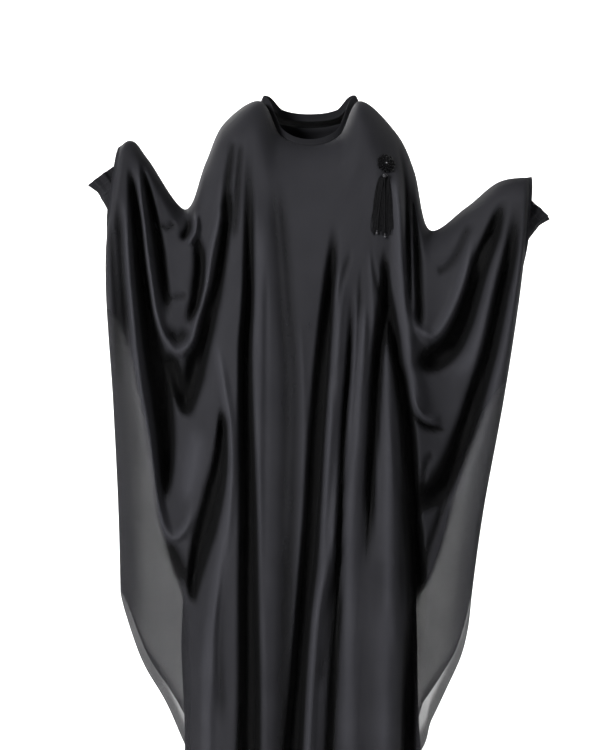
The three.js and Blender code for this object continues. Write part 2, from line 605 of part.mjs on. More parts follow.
function rosette(frontGrid) {
  const { x, z, radius, height, petals, rings, segments, clearance } = ROSETTE;
  const { scallop, crownStart, petalRelief, dish } = ROSETTE;
  const spot = (k, s, lift) => {
    const angle = (2 * Math.PI * s) / segments;
    const reach = (k / rings) * radius * (1 + scallop * Math.cos(petals * angle));
    const px = x + reach * Math.cos(angle);
    const pz = z + reach * Math.sin(angle);
    return new THREE.Vector3(px, frontDepthAt(frontGrid, px, pz) - clearance - lift(k, angle), pz);
  };
  const puff = (k, angle) => {
    const share = k / rings;
    const crown = height * Math.sin(Math.PI * lerp(crownStart, 1, share));
    return WALL + crown * (1 - petalRelief + petalRelief * Math.cos(petals * angle)) * lerp(1 - dish, 1, share);
  };
  const points = [spot(0, 0, puff), spot(0, 0, () => 0)];
  const start = [2, 2 + rings * segments];
  for (const lift of [puff, () => 0]) {
    for (let k = 1; k <= rings; k += 1) {
      for (let s = 0; s < segments; s += 1) points.push(spot(k, s, lift));
    }
  }
  const id = (layer, k, s) => (k === 0 ? layer : start[layer] + (k - 1) * segments + (s % segments));
  const faces = [];
  for (let s = 0; s < segments; s += 1) {
    faces.push(id(0, 0, 0), id(0, 1, s), id(0, 1, s + 1));
    faces.push(id(1, 0, 0), id(1, 1, s + 1), id(1, 1, s));
    for (let k = 1; k < rings; k += 1) {
      faces.push(id(0, k, s), id(0, k + 1, s), id(0, k + 1, s + 1));
      faces.push(id(0, k, s), id(0, k + 1, s + 1), id(0, k, s + 1));
      faces.push(id(1, k, s), id(1, k + 1, s + 1), id(1, k + 1, s));
      faces.push(id(1, k, s), id(1, k, s + 1), id(1, k + 1, s + 1));
    }
    faces.push(id(0, rings, s), id(1, rings, s), id(1, rings, s + 1));
    faces.push(id(0, rings, s), id(1, rings, s + 1), id(0, rings, s + 1));
  }
  return solid(points, faces);
}

function toManifold(wasm, geometry) {
  const bare = geometry.index ? geometry.clone() : geometry;
  bare.deleteAttribute('normal');
  bare.deleteAttribute('uv');
  const merged = mergeVertices(bare, 1e-4);
  return new wasm.Manifold(new wasm.Mesh({
    numProp: 3,
    vertProperties: new Float32Array(merged.attributes.position.array),
    triVerts: new Uint32Array(merged.index.array),
  }));
}

function fromManifold(manifold) {
  const mesh = manifold.getMesh();
  const geometry = new THREE.BufferGeometry();
  geometry.setAttribute('position', new THREE.BufferAttribute(mesh.vertProperties, 3));
  geometry.setIndex(new THREE.BufferAttribute(mesh.triVerts, 1));
  geometry.computeVertexNormals();
  return geometry;
}

// The tassel hangs just clear of the front sheet, below the rosette
function tassel(wasm, frontGrid) {
  const { x, top, headRadius, headStandOff, strandRadius, beadRadius, standOff, spread, settlesBy } = TASSEL;
  const onFront = (px, pz, away) => (
    new THREE.Vector3(px, frontDepthAt(frontGrid, px, pz) - away, pz));
  const ball = (centre, radius) => (
    new THREE.SphereGeometry(radius, 8, 6).translate(centre.x, centre.y, centre.z));
  const head = onFront(x, top - headRadius, headRadius + headStandOff);
  const pieces = [ball(head, headRadius)];
  for (const strand of STRANDS) {
    const path = Array.from({ length: STRAND_STEPS + 1 }, (_, k) => {
      const share = k / STRAND_STEPS;
      const px = lerp(x, strand.x, share ** spread);
      const pz = lerp(head.z, strand.z, share);
      return onFront(px, pz, lerp(headRadius + headStandOff, standOff, smooth(0, settlesBy, share)));
    });
    const grid = path.map((point, k) => {
      const before = path[Math.max(k - 1, 0)];
      const after = path[Math.min(k + 1, STRAND_STEPS)];
      return ringPoints(point, after.clone().sub(before).normalize(), strandRadius, strandRadius, 4);
    });
    pieces.push(rod(grid), ball(path[STRAND_STEPS], beadRadius));
  }
  return fromManifold(pieces.map((piece) => toManifold(wasm, piece)).reduce((a, b) => a.add(b)));
}

// A full rod through rings of points, closed at both ends
function rod(grid) {
  const sides = grid[0].length;
  const points = grid.flat();
  const faces = [];
  for (let i = 0; i < grid.length - 1; i += 1) {
    for (let j = 0; j < sides; j += 1) {
      const next = (j + 1) % sides;
      const [a, b, c, d] = [i * sides + j, i * sides + next, (i + 1) * sides + next, (i + 1) * sides + j];
      faces.push(a, b, c, a, c, d);
    }
  }
  const last = (grid.length - 1) * sides;
  for (let j = 1; j < sides - 1; j += 1) {
    faces.push(0, j + 1, j);
    faces.push(last, last + j, last + j + 1);
  }
  return solid(points, faces);
}

const wasm = await Module();
wasm.setup();

const abaya = new THREE.Group();

function add(name, geometry, finish) {
  const mesh = new THREE.Mesh(geometry, new THREE.MeshStandardMaterial(finish));
  mesh.name = name;
  abaya.add(mesh);
}

const frontFolds = withRoutes(FRONT_FOLDS);
const backFolds = withRoutes(BACK_FOLDS);
const columns = capeColumns();
const rows = capeRows();
const frontGrid = capeGrid(-1, frontFolds, columns, rows);
const backGrid = capeGrid(1, backFolds, columns, rows);

add('cape_front', capeSheet(frontGrid, -1, columns), BLACK_SHEER);
add('cape_back', capeSheet(backGrid, 1, columns), BLACK_SHEER);
add('neckband', neckband(frontGrid, backGrid, columns), BLACK_SHEER);
add('dress_front', dressPanel(-1), BLACK_OPAQUE);
add('dress_back', dressPanel(1), BLACK_OPAQUE);
for (const [name, sleeve] of Object.entries(SLEEVES)) {
  add(name, sleeveTube(sleeve), BLACK_OPAQUE);
  add(sleeve.cuff, cuffTube(sleeve), BLACK_OPAQUE);
}
add('tie_rosette', rosette(frontGrid), BLACK_TRIM);
add('tie_tassel', tassel(wasm, frontGrid), BLACK_TRIM);

export default abaya;
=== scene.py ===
"""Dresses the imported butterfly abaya: sheer georgette cape, crepe dress, gathered cuffs and a beaded tie."""

import logging
import math
from dataclasses import dataclass, field
from enum import Enum
from typing import Sequence

import bpy
import numpy as np
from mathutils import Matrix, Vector

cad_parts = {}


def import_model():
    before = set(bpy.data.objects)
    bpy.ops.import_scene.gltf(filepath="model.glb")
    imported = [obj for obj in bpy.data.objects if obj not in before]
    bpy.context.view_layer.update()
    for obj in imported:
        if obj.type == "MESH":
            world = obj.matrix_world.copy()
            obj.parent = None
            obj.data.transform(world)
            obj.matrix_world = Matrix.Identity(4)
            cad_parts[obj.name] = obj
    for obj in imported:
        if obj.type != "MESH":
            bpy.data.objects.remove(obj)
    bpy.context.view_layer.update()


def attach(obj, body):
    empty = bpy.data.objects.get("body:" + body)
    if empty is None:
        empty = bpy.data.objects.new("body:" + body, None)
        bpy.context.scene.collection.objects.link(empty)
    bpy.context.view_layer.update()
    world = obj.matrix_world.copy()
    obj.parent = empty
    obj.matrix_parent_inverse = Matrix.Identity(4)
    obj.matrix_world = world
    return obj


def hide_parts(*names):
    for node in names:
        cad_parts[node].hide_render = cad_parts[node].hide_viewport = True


LOG = logging.getLogger("abaya")
MM = 0.001
BODY = "root"

# Cloth
SHELL = 1.1
SEAM_GAP = 0.3
STITCH_LIFT = 0.12

# Photograph: its frame, the pixel of the neck's middle, and its scale
PHOTO_WIDTH = 600
PHOTO_HEIGHT = 750
NECK_PIXEL = (310, 105)
MM_PER_PIXEL = 1.9


class Face(Enum):
    """The two sheets of the garment."""

    FRONT = -1
    BACK = 1


class Side(Enum):
    """The wearer's side, as the sign of X."""

    RIGHT = -1
    LEFT = 1


def smooth(start: float, end: float, value: np.ndarray) -> np.ndarray:
    """Eases from 0 at start to 1 at end.

    Args:
        start: Value that gives 0.
        end: Value that gives 1.
        value: Values to ease.

    Returns:
        The eased shares.
    """
    t = np.clip((value - start) / (end - start), 0.0, 1.0)
    return t * t * (3.0 - 2.0 * t)


def mix(a: np.ndarray, b: np.ndarray, share: np.ndarray) -> np.ndarray:
    """Blends from a to b by share."""
    return a + (b - a) * share


def quarter_round(distance: np.ndarray, radius: np.ndarray) -> np.ndarray:
    """Height of a unit quarter circle at a distance from its edge."""
    t = np.clip(distance / radius, 0.0, 1.0)
    return np.sqrt(np.maximum(0.0, 1.0 - (1.0 - t) ** 2))


def to_segment(
    x: np.ndarray, z: np.ndarray, start: np.ndarray, end: np.ndarray
) -> tuple[np.ndarray, np.ndarray]:
    """Share along a segment of the place nearest to each point, and its distance."""
    (ax, az), (dx, dz) = start, end - start
    t = np.clip(((x - ax) * dx + (z - az) * dz) / (dx * dx + dz * dz), 0.0, 1.0)
    return t, np.hypot(x - ax - t * dx, z - az - t * dz)


def curve_through(knots: Sequence[float], values: np.ndarray, at: np.ndarray) -> np.ndarray:
    """Runs a smooth curve through values at rising knots.

    Args:
        knots: Rising positions, one for each value.
        values: Values whose first axis follows the knots.
        at: Positions to read.

    Returns:
        Values whose first axis follows the positions.
    """
    ks = np.asarray(knots, dtype=float)
    vs = np.asarray(values, dtype=float)
    last = len(ks) - 1
    before = np.maximum(np.arange(last + 1) - 1, 0)
    after = np.minimum(np.arange(last + 1) + 1, last)
    shape = (-1,) + (1,) * (vs.ndim - 1)
    slopes = (vs[after] - vs[before]) / (ks[after] - ks[before]).reshape(shape)
    i = np.clip(np.searchsorted(ks, at, side="left") - 1, 0, last - 1)
    span = (ks[i + 1] - ks[i]).reshape(shape)
    s = np.clip((at - ks[i]) / (ks[i + 1] - ks[i]), 0.0, 1.0).reshape(shape)
    rise = s * s * (3.0 - 2.0 * s)
    leave = s * (1.0 - s) ** 2 * slopes[i] * span
    arrive = s * s * (s - 1.0) * slopes[i + 1] * span
    return mix(vs[i], vs[i + 1], rise) + leave + arrive


@dataclass(frozen=True)
class Fold:
    """A soft trough or ridge along a route over the sheet, in millimetres.

    Attributes:
        depth: How far it stands out, or sinks in when negative.
        width: Half widths, evenly spaced from the start to the end.
        route: Points (x, z) along it.
        edge: How crisp its sides are, from 2 for a soft wave up.
        fade: Share of the route over which each end fades away.
    """

    depth: float
    width: tuple[float, ...]
    route: tuple[tuple[float, float], ...]
    edge: float = 2.0
    fade: float = 0.14

    STEPS = 8
    HEM_REACH = -1200.0
    REACH = 4.5

    def line(self) -> np.ndarray:
        """The route as a finer smooth line."""
        points = np.array(self.route)
        count = (len(points) - 1) * self.STEPS
        return curve_through(range(len(points)), points, np.linspace(0, len(points) - 1, count + 1))

    def relief(self, x: np.ndarray, z: np.ndarray) -> np.ndarray:
        """Relief that this fold gives at points of the sheet.

        Args:
            x: Across.
            z: Up.

        Returns:
            Height out of the sheet.
        """
        line = self.line()
        nearest = np.full(x.shape, np.inf)
        along = np.zeros(x.shape)
        for k in range(len(line) - 1):
            t, distance = to_segment(x, z, line[k], line[k + 1])
            closer = distance < nearest
            nearest = np.where(closer, distance, nearest)
            along = np.where(closer, (k + t) / (len(line) - 1), along)
        fade = smooth(0.0, self.fade, along)
        if line[-1][1] > self.HEM_REACH:
            fade = fade * smooth(1.0, 1.0 - self.fade, along)
        half_width = np.interp(along, np.linspace(0, 1, len(self.width)), self.width)
        return fade * self.depth * np.exp(-((nearest / half_width) ** self.edge))


def relief_of(folds: Sequence[Fold], x: np.ndarray, z: np.ndarray) -> np.ndarray:
    """Sums the relief of several folds, each over the places that it reaches."""
    total = np.zeros(x.shape)
    for fold in folds:
        line = fold.line()
        reach = fold.REACH * max(fold.width)
        low, high = line.min(axis=0) - reach, line.max(axis=0) + reach
        near = (x > low[0]) & (x < high[0]) & (z > low[1]) & (z < high[1])
        if near.any():
            total[near] += fold.relief(x[near], z[near])
    return total


FRONT_FOLDS = (
    Fold(-7, (8, 12), ((-353, -177), (-347, -268), (-342, -377), (-335, -504)), fade=0.3),
    Fold(15, (10, 8),
         ((-342, -168), (-337, -250), (-327, -377), (-315, -522), (-300, -631),
          (-288, -740), (-275, -798), (-255, -818), (-231, -794), (-219, -740)), fade=0.2),
    Fold(-22, (4, 8, 14, 18, 15, 8),
         ((-333, -126), (-326, -181), (-320, -228), (-313, -322), (-300, -431),
          (-284, -522), (-275, -613), (-273, -694), (-277, -767)), edge=2.5, fade=0.16),
    Fold(15, (6, 7, 7, 8),
         ((-317, -114), (-311, -186), (-306, -235), (-300, -295), (-293, -350), (-286, -399), (-271, -442),
          (-246, -469), (-219, -448), (-206, -395), (-191, -341), (-179, -268), (-164, -205)), fade=0.12),
    Fold(-22, (9, 17, 14, 9, 7),
         ((-230, -602), (-226, -549), (-210, -482), (-191, -410),
          (-171, -326), (-155, -223), (-148, -159)), edge=2.4, fade=0.2),
    Fold(-17, (12, 13, 8), ((-269, -468), (-253, -518), (-231, -595)), edge=2.2, fade=0.24),
    Fold(-18, (4, 7, 9, 8),
         ((-313, -116), (-300, -177), (-291, -223),
          (-282, -272), (-275, -332), (-262, -413)), edge=2.3, fade=0.22),
    Fold(-17, (7, 12, 9), ((-213, -241), (-204, -308), (-211, -377), (-230, -424)), edge=2.4, fade=0.3),
    Fold(-6, (10, 10), ((-268, -422), (-248, -446), (-226, -424)), fade=0.3),
    Fold(9, (16, 20, 14), ((-208, -604), (-219, -685), (-237, -767)), fade=0.3),
    Fold(-24, (6, 13, 18, 17, 11, 7),
         ((-219, -950), (-219, -903), (-208, -849), (-193, -794),
          (-179, -740), (-166, -676), (-161, -613), (-162, -558)), edge=2.5, fade=0.16),
    Fold(-8, (12, 14), ((-277, -827), (-255, -860), (-230, -921)), fade=0.3),
    Fold(-34, (8, 11, 16, 20),
         ((-112, -68), (-113, -341), (-119, -468), (-117, -613),
          (-113, -776), (-112, -921), (-110, -1085), (-112, -1284)), edge=2.9, fade=0.2),
    Fold(13, (9, 12),
         ((-179, -431), (-161, -522), (-148, -631), (-151, -758),
          (-168, -885), (-182, -994), (-190, -1212)), fade=0.2),
    Fold(8, (20, 20), ((-90, -195), (-95, -613), (-99, -1248))),
    Fold(-7, (16, 18), ((-64, -141), (-46, -377), (-37, -613), (-50, -1248))),
    Fold(-34, (7, 13, 15, 17),
         ((48, -223), (37, -341), (26, -468), (15, -613),
          (6, -776), (-6, -921), (-19, -1085), (-32, -1284)), edge=2.9, fade=0.22),
    Fold(13, (12, 14), ((54, -286), (39, -558), (5, -958), (-10, -1248))),
    Fold(-24, (5, 7, 8),
         ((79, -341), (74, -468), (64, -604), (54, -776),
          (50, -921), (43, -1085), (34, -1266)), edge=2.5, fade=0.22),
    Fold(12, (8, 12), ((86, -341), (75, -540), (61, -667), (35, -849), (1, -996), (-8, -1248))),
    Fold(-28, (6, 10, 9, 6),
         ((141, -268), (137, -368), (126, -468),
          (117, -613), (110, -740), (103, -885)), edge=2.7, fade=0.24),
    Fold(11, (7, 14), ((101, -377), (95, -486), (86, -613), (75, -776), (72, -1212))),
    Fold(12, (7, 18), ((141, -431), (148, -613), (148, -776), (141, -1212))),
    Fold(-30, (7, 13, 15, 12),
         ((130, -268), (155, -440), (181, -613), (190, -776),
          (199, -921), (186, -1085), (181, -1230)), edge=2.7, fade=0.2),
    Fold(12, (12, 16), ((164, -105), (173, -304), (188, -468), (206, -613))),
    Fold(-13, (5, 8, 8), ((186, -123), (197, -250), (202, -359), (206, -468)), edge=2.4, fade=0.25),
    Fold(-24, (8, 15, 20, 20),
         ((357, -186), (337, -250), (317, -308), (300, -368),
          (282, -422), (257, -464), (224, -484), (190, -468)), edge=2.5, fade=0.18),
    Fold(14, (8, 9),
         ((302, -241), (284, -332), (262, -395), (235, -437), (206, -431), (190, -395)), fade=0.2),
    Fold(8, (14, 18), ((351, -250), (324, -377), (304, -468), (275, -540)), fade=0.3),
    Fold(-24, (9, 14, 16, 19, 20),
         ((382, -186), (369, -286), (353, -368), (337, -459), (317, -540),
          (297, -613), (270, -682), (244, -724), (213, -747), (184, -740)), edge=2.5, fade=0.2),
    Fold(13, (7, 8), ((162, -440), (179, -540), (206, -589), (250, -598)), fade=0.2),
    Fold(-14, (5, 7, 4), ((168, -468), (186, -564), (217, -607), (264, -618)), edge=2.2, fade=0.25),
    Fold(9, (12, 18), ((386, -250), (358, -413), (335, -558), (300, -685), (266, -776)), fade=0.2),
    Fold(-9, (10, 16), ((204, -776), (199, -849), (195, -939)), fade=0.3),
)

# Finer creases that only the dressed sheet has
FRONT_CREASES = (
    Fold(-11, (4, 6, 7),
         ((164, -65), (175, -123), (181, -195), (181, -308), (186, -431)), edge=2.3, fade=0.16),
    Fold(8, (7, 8), ((157, -141), (162, -232), (166, -359)), fade=0.3),
    Fold(-5, (4, 6), ((77, -277), (55, -359), (45, -449), (41, -595))),
    Fold(3, (5, 8), ((-64, -141), (-46, -377), (-35, -558), (-44, -885))),
    Fold(-3, (5, 9), ((-81, -308), (-83, -613), (-88, -994))),
    Fold(-5, (4, 6), ((94, -304), (90, -431), (81, -558), (77, -631), (61, -776))),
    Fold(3, (4, 7), ((108, -277), (115, -377), (119, -558), (123, -776))),
    Fold(-5, (5, 7), ((137, -831), (133, -921), (143, -1012), (146, -1121))),
    Fold(-5, (4, 7), ((112, -286), (137, -413), (148, -558), (166, -776), (170, -994))),
    Fold(12, (5, 4), ((-213, -206), (-213, -246), (-228, -273)), fade=0.2),
    Fold(-12, (6, 6), ((-230, -210), (-228, -239), (-242, -264)), fade=0.25),
    Fold(-5, (4, 6), ((-279, -232), (-266, -239), (-251, -230))),
    Fold(-4, (4, 5), ((-269, -373), (-249, -368), (-228, -364))),
    Fold(-8, (6, 8), ((-144, -74), (-150, -132), (-162, -223))),
    Fold(-6, (5, 7), ((-128, -77), (-133, -159), (-142, -268))),
    Fold(4, (7, 10), ((-161, -141), (-175, -286), (-191, -431))),
    Fold(-5, (6, 8), ((35, -776), (35, -939), (17, -1103))),
    Fold(-4, (6, 9), ((-150, -613), (-157, -794), (-168, -994), (-161, -1175))),
    Fold(3, (7, 9), ((-191, -958), (-197, -1066), (-193, -1175))),
    Fold(-5, (6, 9), ((172, -132), (181, -268), (193, -431), (201, -522))),
    Fold(4, (5, 8), ((184, -177), (192, -304), (197, -413))),
    Fold(-4, (6, 8), ((235, -322), (257, -312), (279, -279), (297, -223))),
    Fold(-4, (5, 7), ((195, -685), (201, -776), (217, -685), (235, -658))),
    Fold(-5, (7, 9), ((206, -921), (221, -849), (246, -776), (275, -685))),
    Fold(-4, (6, 9), ((21, -776), (10, -921), (-8, -1103), (-15, -1266))),
    Fold(3, (6, 9), ((-19, -395), (-12, -631), (-28, -958), (-37, -1175))),
    Fold(-4, (5, 8), ((-367, -223), (-358, -377), (-351, -540))),
)

BACK_FOLDS = (
    Fold(-15, (10, 18, 24), ((-52, -50), (-66, -500), (-80, -1300)), fade=0.34),
    Fold(10, (14, 22), ((-98, -90), (-112, -560), (-126, -1290)), fade=0.3),
    Fold(-16, (9, 16, 22), ((-122, -90), (-146, -620), (-170, -1270)), fade=0.3),
    Fold(8, (18, 24), ((4, -60), (0, -600), (-14, -1300)), fade=0.34),
    Fold(-16, (10, 17, 22), ((54, -60), (56, -520), (44, -1300)), fade=0.38),
    Fold(10, (14, 22), ((98, -100), (104, -600), (96, -1290)), fade=0.3),
    Fold(-15, (9, 16, 22), ((130, -100), (156, -620), (160, -1250)), fade=0.28),
    Fold(-7, (10, 16), ((6, -420), (-24, -800), (-34, -1300)), fade=0.3),
    Fold(-12, (10, 18, 12), ((-322, -250), (-300, -360), (-262, -432), (-214, -340), (-176, -150)), fade=0.3),
    Fold(9, (10, 12, 10), ((-306, -230), (-284, -330), (-256, -384), (-222, -310), (-196, -160)), fade=0.3),
    Fold(-13, (10, 20, 12), ((-336, -420), (-312, -560), (-268, -664), (-206, -540), (-162, -260)), fade=0.3),
    Fold(9, (10, 13, 10), ((-318, -420), (-292, -530), (-264, -600), (-218, -500), (-184, -300)), fade=0.3),
    Fold(-12, (10, 20, 12), ((-326, -640), (-304, -780), (-256, -880), (-204, -740), (-168, -520)), fade=0.3),
    Fold(8, (10, 14, 10), ((-306, -660), (-282, -760), (-250, -812), (-214, -720)), fade=0.3),
    Fold(-12, (10, 18, 12), ((344, -220), (318, -350), (272, -422), (222, -340), (182, -150)), fade=0.3),
    Fold(9, (10, 12, 10), ((326, -210), (300, -310), (268, -368), (232, -300), (204, -160)), fade=0.3),
    Fold(-13, (10, 20, 12), ((366, -360), (338, -520), (284, -624), (218, -530), (178, -270)), fade=0.3),
    Fold(9, (10, 13, 10), ((346, -380), (318, -490), (278, -560), (232, -490), (198, -300)), fade=0.3),
    Fold(-12, (10, 20, 12), ((334, -580), (306, -740), (256, -840), (212, -730), (180, -520)), fade=0.3),
    Fold(8, (10, 14, 10), ((312, -600), (290, -700), (256, -772), (222, -700)), fade=0.3),
)

BACK_CREASES = (
    Fold(-4, (6, 9), ((-30, -90), (-34, -420), (-46, -900), (-52, -1290))),
    Fold(-4, (6, 9), ((32, -80), (30, -380), (16, -860), (8, -1290))),
    Fold(4, (6, 9), ((-84, -130), (-90, -500), (-100, -980))),
    Fold(-4, (6, 9), ((84, -150), (80, -620), (72, -1200))),
    Fold(4, (7, 9), ((-20, -150), (-24, -560), (-30, -820))),
    Fold(-4, (6, 8), ((-300, -300), (-262, -380), (-232, -330))),
    Fold(-4, (7, 9), ((-310, -580), (-262, -760), (-222, -660))),
    Fold(-4, (6, 8), ((320, -280), (272, -370), (238, -330))),
    Fold(-4, (7, 9), ((338, -540), (272, -730), (228, -640))),
    Fold(-4, (6, 9), ((120, -640), (126, -900), (124, -1260))),
)


@dataclass(frozen=True)
class Guide:
    """A cape line from the top edge down to the hem, as (x, z) in millimetres at five levels."""

    top: tuple[float, float]
    chest: tuple[float, float]
    hip: tuple[float, float]
    knee: tuple[float, float]
    hem: tuple[float, float]
    back: tuple[float, float] | None = None
    neck: float = 0.0

    def stops(self, face: Face) -> list[tuple[float, float]]:
        """Its points from the top edge down, on one sheet."""
        top = self.back if face is Face.BACK and self.back else self.top
        return [top, self.chest, self.hip, self.knee, self.hem]


LEVELS = (0, 0.2, 0.45, 0.72, 1)
GUIDES = (
    Guide((-357, -86), (-381, -290), (-371, -560), (-364, -760), (-361, -925)),
    Guide((-332, -74), (-330, -300), (-322, -570), (-318, -800), (-318, -1048)),
    Guide((-304, -108), (-285, -310), (-275, -590), (-272, -850), (-270, -1133)),
    Guide((-238, -196), (-232, -360), (-225, -620), (-222, -900), (-222, -1226)),
    Guide((-200, -105), (-185, -330), (-175, -610), (-170, -920), (-168, -1262)),
    Guide((-165, -28), (-150, -300), (-145, -600), (-143, -930), (-140, -1278)),
    Guide((-95, 15), (-118, -290), (-122, -600), (-125, -940), (-125, -1284)),
    Guide((-55, -59), (-70, -290), (-85, -600), (-95, -940), (-100, -1293), (-55, -6), 0.815),
    Guide((0, -80), (-12, -290), (-30, -600), (-56, -940), (-68, -1300), (0, -12), 1.0),
    Guide((55, -59), (46, -262), (8, -600), (-24, -950), (-40, -1303), (55, -6), 0.815),
    Guide((95, 15), (104, -256), (72, -600), (25, -940), (0, -1300)),
    Guide((165, -45), (128, -270), (166, -600), (190, -930), (188, -1228)),
    Guide((200, -120), (165, -300), (205, -600), (226, -880), (228, -1158)),
    Guide((228, -234), (222, -380), (245, -620), (258, -860), (260, -1098)),
    Guide((295, -196), (300, -370), (296, -610), (285, -830), (285, -1046)),
    Guide((352, -152), (350, -340), (332, -580), (306, -790), (300, -992)),
    Guide((412, -143), (397, -310), (366, -550), (331, -765), (308, -941)),
)


def placed(name: str, data: bpy.types.ID) -> bpy.types.Object:
    """Makes an object of some data in the scene, at the origin."""
    made = bpy.data.objects.new(name, data)
    bpy.context.scene.collection.objects.link(made)
    return made


@dataclass
class Mesh:
    """Points in millimetres with faces, and values at points for the finish."""

    points: np.ndarray
    faces: list[tuple[int, ...]]
    uv: np.ndarray | None = None
    values: dict[str, np.ndarray] = field(default_factory=dict)

    def to_object(self, name: str, material: bpy.types.Material) -> bpy.types.Object:
        """Makes a Blender object at the origin.

        Args:
            name: The object's name.
            material: Its finish.

        Returns:
            The linked object.
        """
        mesh = bpy.data.meshes.new(name)
        mesh.from_pydata((self.points * MM).tolist(), [], self.faces)
        if self.uv is not None:
            layer = mesh.uv_layers.new(name="cloth")
            corners = np.empty(len(mesh.loops), dtype=np.int32)
            mesh.loops.foreach_get("vertex_index", corners)
            layer.data.foreach_set("uv", (self.uv * MM)[corners].ravel())
        for key, value in self.values.items():
            attribute = mesh.attributes.new(key, "FLOAT", "POINT")
            attribute.data.foreach_set("value", value.astype(np.float32))
        mesh.materials.append(material)
        mesh.polygons.foreach_set("use_smooth", [True] * len(mesh.polygons))
        mesh.update()
        return placed(name, mesh)


def grid_normals(grid: np.ndarray, wraps: bool) -> np.ndarray:
    """Unit normals of a grid of points, from its neighbours."""
    if wraps:
        across = np.roll(grid, -1, axis=1) - np.roll(grid, 1, axis=1)
    else:
        across = np.gradient(grid, axis=1)
    down = np.gradient(grid, axis=0)
    return unit(np.cross(across, down))


def shell_from_grid(
    grid: np.ndarray,
    outward: np.ndarray,
    thickness: float = SHELL,
    wraps: bool = False,
    seam_columns: bool = False,
    seam_top: np.ndarray | None = None,
    radial_ends: bool = False,
    values: dict[str, np.ndarray] | None = None,
) -> Mesh:
    """Gives a sheet its thickness, as one closed mesh.

    Args:
        grid: Outer points, rows by columns.
        outward: A direction at each point that the outside faces.
        thickness: Cloth thickness.
        wraps: Whether the last column joins the first.
        seam_columns: Whether the side edges end flat in the seam's plane.
        radial_ends: Whether a tube's end rims lie square to its line.
        seam_top: For each column, whether its top edge ends flat in the seam's plane.
        values: Values at the grid's points for the finish.

    Returns:
        The closed shell, with cloth coordinates in millimetres.
    """
    rows, columns = grid.shape[:2]
    normals = grid_normals(grid, wraps)
    flip = np.sign(np.sum(normals * outward, axis=2, keepdims=True))
    normals = normals * np.where(flip == 0, 1, flip)
    flat = np.zeros((rows, columns), dtype=bool)
    flat[:, [0, -1]] = seam_columns
    if seam_top is not None:
        flat[0] |= seam_top
    normals[flat, 1] = 0.0
    if radial_ends:
        normals[[0, -1]] = outward[[0, -1]]
    inner = grid - unit(normals) * thickness
    count = rows * columns
    points = np.concatenate([grid.reshape(-1, 3), inner.reshape(-1, 3)])
    width = columns if wraps else columns - 1
    ids = np.arange(count).reshape(rows, columns)
    faces: list[tuple[int, ...]] = []
    for i in range(rows - 1):
        for j in range(width):
            n = (j + 1) % columns
            a, b, c, d = ids[i, j], ids[i + 1, j], ids[i + 1, n], ids[i, n]
            faces.append((a, b, c, d))
            faces.append((count + a, count + d, count + c, count + b))
    rims = []
    for j in range(width):
        n = (j + 1) % columns
        rims += [(ids[0, j], ids[0, n]), (ids[-1, n], ids[-1, j])]
    if not wraps:
        for i in range(rows - 1):
            rims += [(ids[i + 1, 0], ids[i, 0]), (ids[i, -1], ids[i + 1, -1])]
    faces += [(a, b, count + b, count + a) for a, b in rims]
    across = np.linalg.norm(np.diff(grid, axis=1, prepend=grid[:, :1]), axis=2).cumsum(axis=1)
    down = np.linalg.norm(np.diff(grid, axis=0, prepend=grid[:1]), axis=2).cumsum(axis=0)
    uv = np.stack([across.mean(axis=0)[None, :].repeat(rows, axis=0), down], axis=2).reshape(-1, 2)
    doubled = {key: np.concatenate([value.ravel()] * 2) for key, value in (values or {}).items()}
    faces = [tuple(int(k) for k in face) for face in faces]
    return Mesh(points, turned_out(points, faces), np.concatenate([uv, uv]), doubled)


def turned_out(points: np.ndarray, faces: list[tuple[int, ...]]) -> list[tuple[int, ...]]:
    """Reverses all the faces of a closed mesh if they point in."""
    volume = 0.0
    for face in faces:
        a, b, c = points[face[0]], points[face[1]], points[face[2]]
        volume += float(np.dot(a, np.cross(b, c)))
        if len(face) == 4:
            d = points[face[3]]
            volume += float(np.dot(a, np.cross(c, d)))
    return [tuple(reversed(face)) for face in faces] if volume < 0 else faces


def joined(meshes: Sequence[Mesh]) -> Mesh:
    """Puts several meshes without cloth coordinates into one."""
    points: list[np.ndarray] = []
    faces: list[tuple[int, ...]] = []
    start = 0
    for mesh in meshes:
        points.append(mesh.points)
        faces += [tuple(k + start for k in face) for face in mesh.faces]
        start += len(mesh.points)
    return Mesh(np.concatenate(points), faces)


def unit(vector: np.ndarray) -> np.ndarray:
    """A vector, or several along the last axis, at length 1."""
    return vector / np.maximum(np.linalg.norm(vector, axis=-1, keepdims=True), 1e-9)


def ring_points(centre: np.ndarray, along: np.ndarray, radii: np.ndarray) -> np.ndarray:
    """Points of a round section square to a line.

    Args:
        centre: The section's middle.
        along: The line's direction.
        radii: Radius at each point round it.

    Returns:
        One point for each radius.
    """
    across = unit(np.array([along[2], 0.0, -along[0]]))
    deep = unit(np.cross(along, across))
    angle = np.linspace(0, 2 * math.pi, len(radii), endpoint=False)[:, None]
    return centre + np.cos(angle) * radii[:, None] * across + np.sin(angle) * radii[:, None] * deep


def aligned(ring: np.ndarray, before: np.ndarray) -> np.ndarray:
    """Turns and orders a ring so that its points follow the ring before."""
    shift = before.mean(axis=0) - ring.mean(axis=0)
    orders = [np.roll(order, -k, axis=0) for order in (ring, ring[::-1]) for k in range(len(ring))]
    return min(orders, key=lambda points: float(((points + shift - before) ** 2).sum()))


